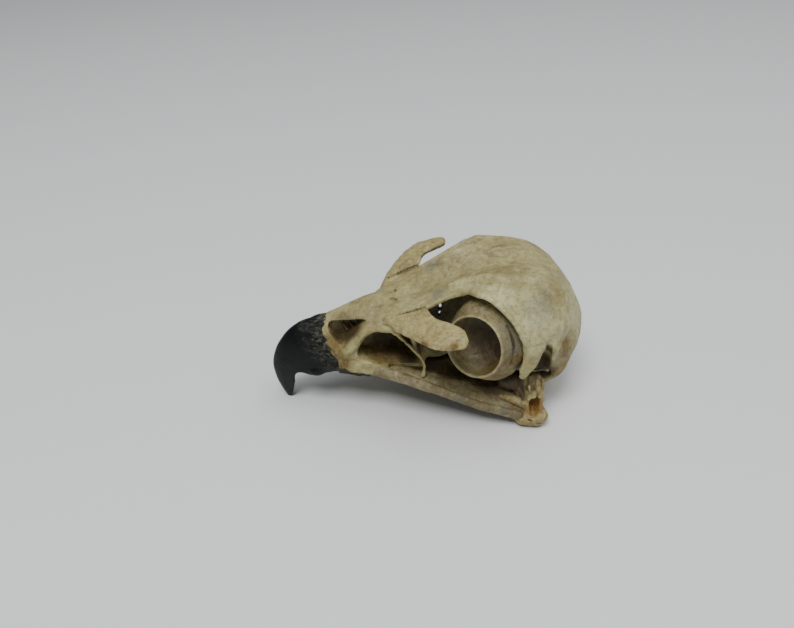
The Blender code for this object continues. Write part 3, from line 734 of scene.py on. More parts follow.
def new_look(name, roughness):
    """A new material, its nodes and its shader."""
    look = bpy.data.materials.new(name)
    look.use_nodes = True
    shader = look.node_tree.nodes["Principled BSDF"]
    shader.inputs["Roughness"].default_value = roughness
    return look, look.node_tree, shader


# %% [markdown]
# Fat, soil and weather work at different scales, so the colour needs patterns of several widths. Each is
# a noise texture, named for what it stands for. A mask is the part of a pattern between two values: at
# the first it starts, and at the second it is full.

# %% The patterns of dry bone
ALONG_BONE = (0.3, 1, 0.8)     # shrinks x, so a pattern is drawn out along the skull, as the bone grew
BONE_NOISE = {  # name: (drawn out along the bone, width in mm, detail, roughness, swirl)
    "clouds": (False, 9.0, 4, 0.6, 0.0),
    "smudges": (False, 4.0, 6, 0.65, 0.4),
    "streaks": (True, 1.5, 5, 0.65, 0.3),
    "mottle": (False, 1.3, 5, 0.6, 0.0),
    "flecks": (False, 2.2, 6, 0.7, 0.6),
    "pores": (False, 0.55, 3, 0.6, 0.0),     # real ones are about 0.1 mm wide: drawn coarser, to show at all
    "specks": (False, 0.3, 2, 0.5, 0.0),     # so are these, the grit of the surface
}
BONE_MARKS = ("crease", "hollow", "brown", "warm", "grey", "pale", "tan")   # attributes on the mesh
BONE_RANGES = {  # mask: (its pattern or mark, the value where it starts, the value where it is full)
    "clouds": ("clouds", 0.42, 0.68),
    "smudges": ("smudges", 0.5, 0.7),
    "streaks": ("streaks", 0.5, 0.7),
    "mottle": ("mottle", 0.42, 0.7),
    "flecks": ("flecks", 0.52, 0.7),
    "pores": ("pores", 0.36, 0.27),
    "specks": ("specks", 0.52, 0.72),
    "crease": ("crease", 0.03, 0.4),
    "ridge": ("crease", -0.12, -0.5),
    "hollow": ("hollow", 0.1, 1.3),
}
BROKEN_BY = {"warm": "mottle", "grey": "smudges", "brown": "flecks", "tan": "streaks"}   # mark: pattern

# %% [markdown]
# One function makes every kind of bone, since all are the same stuff: a mineral with a little fat in it,
# grown in layers, cleaned and dried. It is rough, so its gloss is only a faint sheen (0.55), and its IOR
# keeps the default of 1.5, a little below bone's 1.55. A little light goes in and comes out warmer, which
# takes the hardness from the shadows. Each coat below says what it gives the eye.

# %% Dry bone
BONE_ROUGHNESS = 0.55
PORE_DEPTH = 0.18 * MM
SOFT_LIGHT = 0.15        # the share of light that enters the bone
SOFT_DEPTH = 0.6 * MM    # how far it wanders in there
SOFT_REACH = (1.0, 0.6, 0.3)     # red goes all of that way, green and blue less


def dry_bone(name, cream, tan, pits=1.0, stains=1.0, ochre="#6B5416"):
    """Cream bone with tan clouds, grey smudges, dark pores, brown tissue and painted shade in its hollows and
    creases, and a painted highlight on its ridges.
    """
    look, tree, shader = new_look(name, BONE_ROUGHNESS)
    place = node(tree, "ShaderNodeTexCoord").outputs["Object"]
    along = node(tree, "ShaderNodeVectorMath", {0: place, 1: ALONG_BONE}, operation="MULTIPLY").outputs[0]
    fields = {mark: node(tree, "ShaderNodeAttribute", attribute_name=mark).outputs["Fac"]
              for mark in BONE_MARKS}
    for key, (drawn_out, width, detail, rough, swirl) in BONE_NOISE.items():
        noise = node(tree, "ShaderNodeTexNoise", {"Vector": along if drawn_out else place, "Detail": detail,
                                                  "Scale": PER_MM / width, "Roughness": rough,
                                                  "Distortion": swirl})
        fields[key] = noise.outputs["Fac"]
    masks = {}
    for key, (source, start, full) in BONE_RANGES.items():
        ends = {"Value": fields[source], "From Min": start, "From Max": full}
        band = node(tree, "ShaderNodeMapRange", ends, interpolation_type="SMOOTHSTEP")
        masks[key] = band.outputs[0]
    broken = {}
    for mark, pattern in BROKEN_BY.items():
        both = node(tree, "ShaderNodeMath", {0: fields[mark], 1: masks[pattern]}, operation="MULTIPLY")
        broken[mark] = both.outputs[0]
    colour = painted(tree, linear(cream), [
        (tan, masks["clouds"], 0.75),               # wide clouds, where fat stayed in the bone
        ("#C6C192", fields["pale"], 0.55),          # lighter places, on the back of the head, the temple and the orbit's rim
        (tan, fields["tan"], 0.5),                  # handled and sooty places, and painted shade on the cheek bars
        ("#63502A", broken["tan"], 0.6),            # with streaks in them
        ("#7F7A60", masks["smudges"], 0.4),         # greenish grey, which stops the cream from looking new
        ("#6B5935", masks["streaks"], 0.4 * stains),    # the grain of the bone
        ("#C9C39B", masks["flecks"], 0.4),          # chalky flecks
        ("#685631", masks["mottle"], 0.35 * stains),
        ("#5A4A2B", masks["specks"], 0.25 * stains),    # grit, for an eye that comes close
        ("#C6BF96", masks["ridge"], 0.6),           # ridges painted pale: partly wear, partly a painted highlight
        ("#4F3C1C", masks["crease"], 0.75),         # painted shade in creases, as ambient occlusion gives
        (ochre, fields["warm"], 0.8),               # yellow fat beside the horn and in the joints
        ("#45300B", broken["warm"], 0.7),
        ("#6C6E64", fields["grey"], 0.4),           # grey bruises
        ("#45473F", broken["grey"], 0.5),
        ("#43300F", masks["hollow"], 0.85),         # painted shade in wide hollows, partly dried tissue there
        ("#352810", fields["brown"], 0.93),         # thick brown: dried tissue, and painted shade in the seam, small holes and deep recesses
        ("#6B4E1E", broken["brown"], 0.6),
        ("#3A2C16", masks["pores"], 0.6 * pits)])   # dark pores
    tree.links.new(colour, shader.inputs["Base Color"])
    height = node(tree, "ShaderNodeMath", {0: masks["pores"], 1: -0.9 * pits, 2: masks["mottle"]},
                  operation="MULTIPLY_ADD").outputs[0]
    height = node(tree, "ShaderNodeMath", {0: fields["specks"], 1: 0.5, 2: height},
                  operation="MULTIPLY_ADD").outputs[0]
    bump = node(tree, "ShaderNodeBump", {"Height": height, "Strength": 0.7, "Distance": PORE_DEPTH})
    tree.links.new(bump.outputs[0], shader.inputs["Normal"])
    shader.inputs["Subsurface Weight"].default_value = SOFT_LIGHT
    shader.inputs["Subsurface Radius"].default_value = SOFT_REACH
    shader.inputs["Subsurface Scale"].default_value = SOFT_DEPTH
    return look


# %% The kinds of bone
# The braincase and the bill have smooth, dense bone: pale, and the most even.
SKULL_BONE = dry_bone("Dry bone", "#A9A26F", "#82764A")
# The brow's skin is thin over spongy bone, so it looks like coarse bread crust.
BROW_BONE = dry_bone("Pitted brow bone", "#A69A65", "#807042", pits=1.6, stains=1.3)
# The palate's bone is so thin that the dried tissue beneath darkens it, and it keeps more stains. Its cream
# is also darker as painted shade, for the cheek bars and palatines face down, away from the light.
SHADED_PALATE_BONE = dry_bone("Thin palate bone with painted shade", "#8D8560", "#564A2E", stains=1.9)
# The joint's bone is full of fat, which has turned orange where it is broken open.
JOINT_BONE = dry_bone("Spongy joint bone", "#A39462", "#7A632C", pits=1.5, stains=1.5, ochre="#7E5208")
print("looks:", [look.name for look in bpy.data.materials])

# %% [markdown]
# ## The skull
#
# Now the clay of the skull becomes a mesh. Bone isn't as even as a formula, so its points are moved a
# little by four grains: slow swellings of growth, then ever finer wear. The skull's stains come from lists
# of places, for they are not random: brown tissue clings inside the nose and round the ear, and ochre fat
# lies beside the horn. The same lists paint shade too: brown in the seam, in small holes, and deep in the
# windows, the orbit and the ear.

# %% The skull's unevenness
HORN_BORDER = [(11.0, -19.2), (13.2, -19.8), (15.4, -22.2), (17.8, -24.2), (20.1, -25.4), (22.8, -25.9),
               (24.6, -25.2), (26.0, -23.8)]      # (up, x) where the horn ends on the bone
GROWTH = [(0.16, 7, 1), (0.09, 2.6, 2), (0.06, 1.1, 3), (0.03, 0.55, 18)]   # height, width in mm, and seed
UNDER_HORN = 0.4         # how far the bone is pressed in under the horn, so that none of it shows through
UNDER_START, UNDER_RAMP = 0.3, 0.5   # mm ahead of the border where that starts, and mm until it is full


def horn_edge(up):
    """The x of the horn's border at any height."""
    return np.interp(up, *np.transpose(HORN_BORDER))


def weathered(points, quads, covered=False):
    """The points moved along their normals by a bone's uneven growth and fine wear, and in under the horn."""
    push = bumps(points, GROWTH)
    if covered:
        under = np.clip((horn_edge(points[:, 2]) - UNDER_START - points[:, 0]) / UNDER_RAMP, 0, 1)
        push = push * (1 - under) - UNDER_HORN * under
    return pushed(points, quads, push)


# %% The skull's stains and painted shade
# painted shade along the seam between the forehead and the brow, which darkens its groove
SEAM_SHADE = [(-6.0, 9.7, 29.9, 0.5), (-5.2, 9.8, 30.2, 0.6), (-4.4, 9.9, 30.5, 0.65), (-3.6, 10.0, 30.8, 0.7),
        (-2.8, 10.0, 31.0, 0.7), (-2.0, 10.1, 31.3, 0.65), (-1.3, 10.1, 31.5, 0.5)]
STAINS_AND_SHADE = {  # mark: places (x, out, up, radius)
    # brown is dried tissue, and painted shade as well in the windows, the nostril, the orbit, the ear and the
    # cleft
    "brown": SEAM_SHADE + [
        (-10, 4, 19, 5.5), (-5, 4, 19, 5), (-5, 6, 14.6, 3.0),                      # in the rear window
        (-19.5, 3.4, 22.0, 3.9), (-22, 3, 21.0, 2.6),                               # in the nostril
        (2, 4, 24, 6), (6, 5, 28, 5), (-1, 3, 20, 4),                               # in the orbit
        (2.4, 5.6, 18.4, 3.4), (-3.0, 10.6, 20.6, 2.4),                             # on its front wall
        (27, 15.5, 18, 3.0), (28, 14.5, 14.5, 3.0),                                 # in the ear
        (26.8, 16.8, 15.9, 1.8), (27.5, 17.8, 22.4, 1.7),                           # on its strut; cleft
        (-8.3, 1.4, 29.5, 0.5), (-7.7, 2.1, 29.5, 0.6)],                            # painted shade in two vessel holes
    "warm": [(31.5, 15.2, 21.0, 3.0), (32, 12, 15, 4), (30, 10, 20, 3),             # behind the ear
             (-24, 7, 20, 3.5), (-22, 8, 16, 3.2), (-10, 5, 14.5, 5)],              # by the horn; nose floor
    "grey": [(26.2, 17, 34.0, 4.5), (2.5, 7.0, 33.4, 2.4)],                         # temple; over the orbit
    "pale": [(34.4, 11.5, 26.6, 4), (36, 7, 27, 7), (31, 15, 25, 6),                # the back of the head
             (24, 18, 29, 5.5), (15, 15, 36, 4), (10, 7.5, 37.5, 3)],               # temple; orbit's rim
    "tan": [(8, 3, 36, 4), (14, 5, 38.4, 5.5), (21, 6, 39, 4.5),                    # along the crown
            (33, 13, 21, 4), (-16, 3, 28.5, 5), (-22, 4, 26, 4)],                   # below it; the bill
}

# %% The skull
points, quads, marks = surface(skull, mirror=True)
marks.update({mark: near_places(points, places) for mark, places in STAINS_AND_SHADE.items()})
piece = mesh_piece("skull_bone", weathered(points, quads, covered=True), quads, marks, SKULL_BONE)
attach(piece, "root")
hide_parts("braincase", "upper_bill")

# %% [markdown]
# ## The horn of the bill
#
# In life the bone of the bill wears a sheath of horn, the same stuff as a claw, and a dry skull keeps it.
# It is the bill's own loft a little thicker, cut off along a ragged border. Near the border it is rough and
# fibrous, because there the living skin grew over it, and towards the hook it is worn smooth.

# %% The horn's clay
HORN_THICK = 0.15        # how far it stands proud of the bone
RAGGED = [(0.5, 1.6, 4), (0.25, 0.7, 5)]     # the teeth of its border: height, width in mm, and seed
BORDER_ROUND = 0.3       # mm: how much the border is rounded
EDGE_LINE = [(-22.2, 7.9, 12.5, 0.5), (-20.0, 8.3, 12.2, 0.4), (-17.4, 9.1, 12.1, 0.3),
             (-15.0, 9.6, 12.1, 0.15)]       # the end of the cutting edge: x, out, up, radius


def horn_clay():
    """The bill's loft, thicker, cut off at its border and at the floor. Its edge runs on below the bone."""
    clay = Clay((-42, -10.5, -1), (-13, 10.5, 27), FINE)
    x, y, z = clay.everywhere()
    clay.field = loft(clay, bill_rings()) - HORN_THICK
    spots = np.stack(np.broadcast_arrays(0 * x[0], y[0], z[0]), -1).reshape(-1, 3)
    border = horn_edge(z[0, 0]) + bumps(spots, RAGGED).reshape(y.size, z.size)
    clay.field = -smooth_min(-clay.field, border[None] - x, BORDER_ROUND)
    clay.field = np.maximum(clay.field, -z)
    for side in SIDES.values():
        line = [(along, side * out, up, radius) for along, out, up, radius in EDGE_LINE]
        clay.add(rod(line), 0.3)
        clay.add(egg((-28.4, side * 5.4, 11.0), (1.6, 0.6, 0.9)), 1.0)       # the lobe of the cutting edge
        clay.carve(egg((-32.0, side * 3.6, 7.6), (2.6, 2.6, 2.4)), 1.0)      # the hollow behind the hook
    return clay


# %% The horn's surface
FIBROUS_WIDTH = 8        # mm from the border to where the horn is smooth
ALONG_HORN = (0.55, 1, 1)    # shrinks x, so the fibres lie along the bill
SMOOTH_HORN = [(0.04, 2.0, 6)]       # again height, width and seed
FIBRES = [(0.22, 1.0, 7), (0.10, 0.5, 8)]


def fibrous(points, quads):
    """Lumps and fibres near the border, fading towards the hook."""
    fade = np.clip(1 - (horn_edge(points[:, 2]) - points[:, 0]) / FIBROUS_WIDTH, 0, 1)
    push = bumps(points, SMOOTH_HORN) + fade * bumps(points * ALONG_HORN, FIBRES)
    return pushed(points, quads, push), fade


# %% [markdown]
# Horn is keratin, a tough clear stuff that is black here with pigment. Rubbed smooth it has a satin gloss,
# which draws one soft highlight down the hook. Where it is fibrous it is dull, and dry grey flakes lift
# from it. Keratin's IOR is near 1.55, but worn horn is dulled by fine scratches, so its specular level is
# set low.

# %% Black horn
ALONG_FLAKES = (0.5, 1, 1)
HORN_NOISE = {"flakes": 1.5, "fine": 0.7}        # mm: real fibres are 0.2 mm wide, drawn coarser to show
HORN_RANGES = {"flakes": ("flakes", 0.44, 0.62), "fine": ("fine", 0.49, 0.64), "edge": ("fibre", 0.75, 1.0)}
SATIN, DULL = 0.42, 0.7  # its roughness at the hook and at the border
WORN_SPECULAR = 0.22
FLAKE_HEIGHT = 0.15 * MM


def keratin(name):
    """Black horn: a dark solid with a satin gloss, and grey flakes where it is fibrous."""
    look, tree, shader = new_look(name, SATIN)
    place = node(tree, "ShaderNodeTexCoord").outputs["Object"]
    along = node(tree, "ShaderNodeVectorMath", {0: place, 1: ALONG_FLAKES}, operation="MULTIPLY").outputs[0]
    fields = {"fibre": node(tree, "ShaderNodeAttribute", attribute_name="fibre").outputs["Fac"]}
    for key, width in HORN_NOISE.items():
        noise = node(tree, "ShaderNodeTexNoise", {"Vector": along, "Scale": PER_MM / width, "Detail": 4,
                                                  "Roughness": 0.65})
        fields[key] = noise.outputs["Fac"]
    masks = {}
    for key, (source, start, full) in HORN_RANGES.items():
        ends = {"Value": fields[source], "From Min": start, "From Max": full}
        band = node(tree, "ShaderNodeMapRange", ends, interpolation_type="SMOOTHSTEP")
        masks[key] = band.outputs[0]
    for key in HORN_NOISE:
        both = node(tree, "ShaderNodeMath", {0: fields["fibre"], 1: masks[key]}, operation="MULTIPLY")
        masks[key] = both.outputs[0]         # only where the horn is fibrous
    colour = painted(tree, linear("#050607"), [
        ("#3A3B30", masks["flakes"], 0.9),   # wide grey flakes
        ("#7C7D6E", masks["fine"], 0.4),     # their lifted edges, almost white
        ("#26261D", masks["edge"], 0.4)])    # the brownish border
    tree.links.new(colour, shader.inputs["Base Color"])
    rough = node(tree, "ShaderNodeMapRange", {"Value": fields["fibre"], "To Min": SATIN, "To Max": DULL})
    tree.links.new(rough.outputs[0], shader.inputs["Roughness"])
    shader.inputs["Specular IOR Level"].default_value = WORN_SPECULAR
    height = node(tree, "ShaderNodeMath", {0: fields["flakes"], 1: fields["fine"]}, operation="ADD")
    bump = node(tree, "ShaderNodeBump", {"Height": height.outputs[0], "Strength": 0.6,
                                         "Distance": FLAKE_HEIGHT})
    tree.links.new(bump.outputs[0], shader.inputs["Normal"])
    return look


# %% The horn
HORN = keratin("Black horn")
points, quads, marks = surface(horn_clay())
points, fade = fibrous(points, quads)
points[:, 2] = np.maximum(points[:, 2], 0)
piece = mesh_piece("horn", points, quads, {"fibre": fade}, HORN)
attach(piece, "root")
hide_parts("horn_sheath")

# %% [markdown]
# ## The brow bones
#
# A hawk's fierce look comes from a free blade of bone over each eye. It is fixed to the forehead along its
# front edge only. The blade is spongy inside, so its skin is pitted, and its rear end is a rounded pad. The
# two don't stand alike: the left one hangs a little lower.

# %% The brow bones
BROW = [  # inner edge (x, out, up), outer edge, half thickness
    ((-11.3, 6.6, 26.6), (-11.0, 8.8, 26.6), 0.35),
    ((-9.7, 7.2, 27.9), (-9.7, 10.8, 28.0), 0.75),
    ((-8.2, 8.0, 28.7), (-8.3, 13.8, 28.3), 0.95),
    ((-4.6, 8.6, 30.0), (-4.4, 19.0, 29.7), 1.05),
    ((-1.0, 9.6, 31.4), (-0.6, 23.0, 30.1), 1.15),
    ((1.0, 14.8, 31.9), (3.0, 24.2, 30.2), 1.25),
    ((4.0, 17.0, 32.1), (5.8, 24.4, 30.5), 1.3),
    ((6.2, 18.6, 31.9), (7.2, 23.9, 30.8), 1.2),
    ((7.4, 19.8, 31.7), (7.9, 22.6, 31.1), 0.7),
]
BROW_LEAN = 1.3 / 14     # how much the left blade sinks, and the right one rises, for each mm out
LEAN_FROM = 10           # mm out, where the lean starts
RING_POINTS = 16         # points round each of the blade's cross-sections
STRUT = [(-8.6, 9.8, 26.6, 0.8), (-7.4, 10.3, 24.2, 0.5), (-6.2, 10.6, 22.8, 0.45), (-4.8, 11.2, 21.5, 0.4),
         (-3.4, 11.7, 20.0, 0.38), (-2.1, 12.0, 18.1, 0.38), (-1.4, 12.2, 16.4, 0.42),
         (-1.5, 12.7, 14.8, 0.5), (-1.8, 12.8, 13.6, 0.6)]    # from the blade down to the cheek bar
BROW_CRACK = [  # across the blade: x, out, up, radius, and how many mm of the lean each point takes
    (1.4, 25.0, 31.2, 0.3, 14), (0.7, 21.4, 32.1, 0.35, 11), (0.9, 17.6, 32.6, 0.3, 7),
    (2.2, 14.8, 33.2, 0.35, 5)]


def brow_clay(side):
    """The blade as a loft of flat ovals, leant to its side, with its strut, its crack and the slit."""
    clay = Clay((-14, 6, 11), (10, 26.5, 36), FINE)
    lean = side * BROW_LEAN
    turns = np.linspace(0, 2 * math.pi, RING_POINTS, endpoint=False)
    rings = []
    for inner, outer, thick in BROW:
        inner, outer = (np.array((x, out, up + side * BROW_LEAN * (out - LEAN_FROM)))
                        for x, out, up in (inner, outer))
        rings.append([(inner + outer) / 2 + (outer - inner) / 2 * math.cos(turn)
                      + (0, 0, thick * math.sin(turn)) for turn in turns])
    clay.field = loft(clay, refine(rings))
    clay.add(rod(STRUT), 0.5)
    clay.carve(rod([(x, out, up + lean * share, radius) for x, out, up, radius, share in BROW_CRACK]), 0.5)
    clay.carve(rod(SLIT), SLIT_EDGE)
    return clay


# %% [markdown]
# All the bones that come in pairs are finished in one way: the surface is drawn, turned to its side,
# stained, and moved a little by its own unevenness. So one function does this for each. Only the unevenness
# differs: dense bone has the skull's slow swellings, the thin skin of spongy bone is pitted, and the eye
# rings will get the steps of their plates.

# %% Side bones
PITS_FROM = 0.25         # how high the grain must rise for a pit to start
PIT_DEPTH = 0.16         # mm
SWELLING, GRIT = 0.12, 0.05      # mm: the heights of the wide bumps and of the finest ones
NO_STAINS = {}


def one_side(side, points, quads):
    """Puts a bone that was made with out instead of y on the left or on the right."""
    return points * (1, side, 1), quads if side > 0 else quads[:, ::-1]


def pitted(points, quads):
    """The points moved as the skin of spongy bone is: wide swellings, pits and grit."""
    pits = np.clip(grain(points, 0.9, 10) - PITS_FROM, 0, 1)
    push = SWELLING * grain(points, 2.2, 9) - PIT_DEPTH * pits + GRIT * grain(points, 0.6, 11)
    return pushed(points, quads, push)


def add_bone(name, side_name, clay, look, replaced, brown=(), stains=NO_STAINS, rough=weathered):
    """Draws a side bone's clay, finishes it and puts it in the frame. Brown is places or a function."""
    points, quads, marks = surface(clay)
    points, quads = one_side(SIDES[side_name], points, quads)
    marks["brown"] = brown(points) if callable(brown) else near_places(points, brown)
    for mark in ("warm", "grey", "tan"):
        marks[mark] = near_places(points, stains.get(mark, ()))
    points = rough(points, quads)
    points[:, 2] = np.maximum(points[:, 2], 0)     # nothing goes below the floor
    piece = mesh_piece(name + "_" + side_name, points, quads, marks, look)
    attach(piece, "root")
    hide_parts(*[node_name + "_" + side_name for node_name in replaced])


# %% The two brows
BROW_STAINS = {"warm": [(4.5, 24.0, 29.8, 0.9), (-2, 21.5, 28.9, 1.0)]}     # fat, on the blade's outer edge
for side_name, side in SIDES.items():
    # the brow's brown is painted shade along its seam
    add_bone("brow_bone", side_name, brow_clay(side), BROW_BONE, ["brow"], brown=SEAM_SHADE,
             stains=BROW_STAINS, rough=pitted)

# %% [markdown]
# ## The eye rings
#
# A bird's eyeball is stiffened by a ring of thin bony plates, which overlap like the tiles of a roof. Here
# the ring is whole, and the dried skin of the eye closes it behind like a bowl. It is a turned shape, so
# its profile is drawn once and the clay does the rest. The overlaps of the plates are small steps round it.

# %% The eye rings
EYE_CENTRE = (9.9, 17.0, 24.2)
EYE_FORWARD, EYE_UP = 40.0, 14.0     # degrees that the eye looks forward of sideways, and up
PLATES = 14
RING_PROFILE = [  # radius, height above the opening
    (0.0, -8.2), (3.0, -7.9), (5.6, -6.9), (7.2, -4.9), (7.5, -2.6), (7.1, -0.7), (7.3, 0.0), (7.75, -0.2),
    (8.0, -1.3), (8.5, -2.6), (9.4, -4.5), (10.0, -5.9), (10.0, -6.8), (9.2, -7.8), (6.0, -8.9), (0.0, -9.6)]
BOWL_PROFILE = RING_PROFILE[:7] + [(7.3, 3.0), (0.0, 3.0)]

forward, lift = math.radians(EYE_FORWARD), math.radians(EYE_UP)
EYE_AXIS = np.array((-math.sin(forward) * math.cos(lift), math.cos(forward) * math.cos(lift), math.sin(lift)))
EYE_UPWARD = np.cross((1, 0, 0), EYE_AXIS)
EYE_UPWARD /= np.linalg.norm(EYE_UPWARD)


def ring_clay():
    """The turned bowl, and a lump of dried skin that holds it to the socket's wall."""
    clay = Clay((-3, 2, 9), (24, 23, 36), MEDIUM)
    clay.model([
        (ADD, "the bowl from outside", turned(RING_PROFILE, EYE_CENTRE, EYE_AXIS), 0.01),
        (ADD, "the skin behind it", egg((12.8, 9.6, 27.8), (5.2, 4.6, 5.6)), 1.6),
        (CARVE, "the inside of the bowl", turned(BOWL_PROFILE, EYE_CENTRE, EYE_AXIS), 0.2),
    ])
    return clay


# %% [markdown]
# The plates overlap all round in one direction. Fourteen thin shells that touch would be hard to keep
# apart. A wave round the ring's axis, which climbs over each plate and drops at its end like the teeth of
# a saw, gives the same steps on one skin.

# %% The plates' surface
PLATES_FROM, PLATES_RAMP = 8.0, 0.8      # mm from the ring's axis where they start, and until they are full
PLATE_STEP = 0.12            # mm: how high a plate's end stands over the next plate
PLATE_WAVE = 0.06            # how much the plates' ends wander, in widths of a plate
PLATE_GRAIN = [(0.05, 1.2, 13)]
BOWL_RADIUS, BOWL_FROM, BOWL_RAMP = 7.6, 2, 2        # mm: where the dried skin lies, and how far down
WRINKLES = [(0.18, 1.8, 14), (0.08, 0.8, 15)]


def plated(points, quads):
    """The steps of the overlapping plates on the ring's outside, and wrinkles in its bowl."""
    folded = points * (1, 0, 1) + np.abs(points) * (0, 1, 0) - EYE_CENTRE
    height = folded @ EYE_AXIS
    radius = np.linalg.norm(folded - height[:, None] * EYE_AXIS, axis=1)
    turn = np.arctan2(folded @ EYE_UPWARD, folded @ np.cross(EYE_UPWARD, EYE_AXIS))
    outside = np.clip((radius - PLATES_FROM) / PLATES_RAMP, 0, 1)
    slide = PLATES * turn / (2 * math.pi) + PLATE_WAVE * grain(points, 2.0, 12)
    step = slide - np.floor(slide)
    push = outside * (PLATE_STEP * step + bumps(points, PLATE_GRAIN))
    bowl = np.clip((-height - BOWL_FROM) / BOWL_RAMP, 0, 1) * (radius < BOWL_RADIUS)
    push += bowl * bumps(points, WRINKLES)
    return pushed(points, quads, push)


# %% [markdown]
# The stains of a ring are placed as one sees them when looking straight into it: so far to the right, so
# far up and so far in. That is easier to read off a photo than places in the skull.

# %% The two eye rings
def from_eye(right, high, deep):
    """A place in the skull from a place on the ring, seen from the front."""
    across = np.cross(EYE_UPWARD, EYE_AXIS)
    return tuple(np.array(EYE_CENTRE) - right * across + high * EYE_UPWARD - deep * EYE_AXIS)


GAP_RADIUS, GAP_DEPTH = 8.9, 3.3     # mm from the ring's axis and below its opening
PLATE_GAP = [(*from_eye(GAP_RADIUS * math.cos(turn), GAP_RADIUS * math.sin(turn), GAP_DEPTH),
              0.42 + 0.12 * math.sin(9 * turn))
             for turn in np.radians(np.arange(-24, 40, 4))]     # dark, between two layers, and uneven
# the bowl's dried skin, and painted shade on the ring's rear edge in the gap beside the temple's tongue
BOWL_SKIN_AND_SHADE = [(*from_eye(0, 0, 6.5), 7.2), (20.4, 18.6, 19.6, 1.6)]
RING_STAINS = {
    "warm": [(*from_eye(3, -5, 5), 4), (*from_eye(9.3, -3, 3), 2.4)],
    "grey": [(*from_eye(9.4, 1, 3), 3), (*from_eye(7.5, 5, 2.5), 2)],
    "tan": [(*from_eye(7, -2, 4), 6), (*from_eye(9.6, 2, 5), 3)],
}
# The plates are as thin as card and greyer than the skull, and grime shows at their edges.
RING_BONE = dry_bone("Thin ring bone", "#9A9168", "#706540", stains=1.5)
for side_name in SIDES:
    add_bone("eye_ring_bone", side_name, ring_clay(), RING_BONE, ["eye_ring"],
             brown=BOWL_SKIN_AND_SHADE + PLATE_GAP, stains=RING_STAINS, rough=plated)

# %% [markdown]
# ## The palate and the cheeks
#
# From the bill a thin rod of bone, the cheek bar, runs back to each jaw joint. Beside it lie the broad,
# thin palatines, whose inner parts are hidden under dried brown skin and painted shade. A short strut, the
# pterygoid, joins each of them to the jaw joint.

# %% The cheek bars
CHEEK_BAR = [(-15.0, 8.6, 13.2, 1.2), (-12.1, 9.8, 13.4, 1.6), (-8.9, 11.6, 13.1, 1.6),
             (-4.7, 13.1, 12.1, 1.4), (0.6, 14.6, 10.5, 1.3), (5.9, 16.0, 8.7, 1.2),
             (11.2, 17.1, 6.6, 1.2), (16.6, 17.8, 4.9, 1.3), (21.6, 18.2, 3.2, 1.4)]


def cheek_clay():
    """The bar, a rod that is a little flat."""
    clay = Clay((-15, 6, 0), (25, 21, 17), MEDIUM)
    clay.add(rod(CHEEK_BAR, flat=0.75), 0.3)
    return clay


# %% [markdown]
# A palatine is a wide, thin plate with a raised ridge, so it is lofted through its cross-sections. The
# skin that dried on its inner part clings to the bone everywhere. It isn't a sheet of its own, therefore,
# but a colour with an edge that wanders. The same dark colour is painted shade, for this part lies deep in
# the shadow under the eye.

# %% The palatines
PALATINE = [  # x, then (out, up) of its upper side from the middle to the edge beside the cheek bar
    (-10.6, (0.8, 14.4), (4.0, 13.9), (6.6, 13.8), (8.2, 13.9), (9.3, 13.5)),
    (0.0, (0.8, 13.2), (4.5, 13.3), (8.5, 13.0), (12.0, 12.6), (13.5, 11.8)),
    (6.0, (0.8, 12.2), (4.5, 12.4), (9.0, 11.7), (12.6, 10.3), (15.1, 9.1)),
    (12.0, (0.8, 10.8), (4.5, 10.9), (9.0, 10.4), (12.8, 8.6), (16.2, 7.0)),
    (17.0, (0.8, 10.0), (4.5, 10.0), (9.0, 9.8), (12.8, 8.0), (16.9, 5.8)),
    (22.9, (0.8, 9.8), (4.5, 9.6), (9.0, 9.2), (12.8, 8.0), (17.2, 5.0)),
]
PALATE_BELOW = [(0.8, 2.8), (4.5, 4.0), (9.0, 4.6), (12.6, 1.9), (20.0, 1.4)]   # (out, how thick it is there)
THIN_UNTIL, THIN_SHARE = -5, 0.5     # ahead of this x the bone has only this share of that thickness
SKIN_SHADE_INSIDE = 0.5        # mm: how far inside the ridge the dark skin and painted shade end
SKIN_SHADE_WANDER = 0.9        # mm: how much its edge wanders
SKIN_SHADE_RAMP = 0.8          # mm: over which it thins out


def palatine_clay():
    """A plate lofted from its cross-sections: the upper side as listed, the lower one by its thickness."""
    clay = Clay((-15, 0, 0), (25, 20, 17), MEDIUM)
    rings = []
    for x, *side in PALATINE:
        side = [(x, out, up) for out, up in side]
        thick = 1 if x > THIN_UNTIL else THIN_SHARE
        rings.append(side + [(x, out, up - thick * np.interp(out, *np.transpose(PALATE_BELOW)))
                             for x, out, up in side[::-1]])
    clay.field = loft(clay, refine(rings))
    return clay


def skin_and_shade_of_palate(points):
    """Where dried skin and painted shade darken the palatine: inside its raised ridge."""
    ridge = np.interp(points[:, 0], [ring[0] for ring in PALATINE], [ring[4][0] for ring in PALATINE])
    wander = SKIN_SHADE_WANDER * grain(points * (0.4, 1, 1), 1.4, 16)
    return np.clip((ridge - SKIN_SHADE_INSIDE - np.abs(points[:, 1]) + wander) / SKIN_SHADE_RAMP, 0, 1)


# %% [markdown]
# A pterygoid is a short strut deep under the skull. It is hardly seen, so a plain rod does for it.

# %% The pterygoids
PTERYGOID = [(19.6, 6.0, 4.3, 1.2), (21.4, 9.6, 4.4, 1.1), (22.6, 13.4, 4.2, 1.2)]


def pterygoid_clay():
    """The strut from the palatine to the jaw joint."""
    clay = Clay((17, 4, 1), (26, 16, 8), MEDIUM)
    clay.add(rod(PTERYGOID, flat=0.9), 0.2)
    return clay


# %% [markdown]
# The jaw joint's bone, the quadrate, is broken open in this skull. Knobs below carry the weight, a shaft
# goes up to the skull, and shreds of dried muscle hang on it. Eggs and rods give the knobs and the shaft,
# small eggs carve the broken holes, and thin bent rods are the shreds.

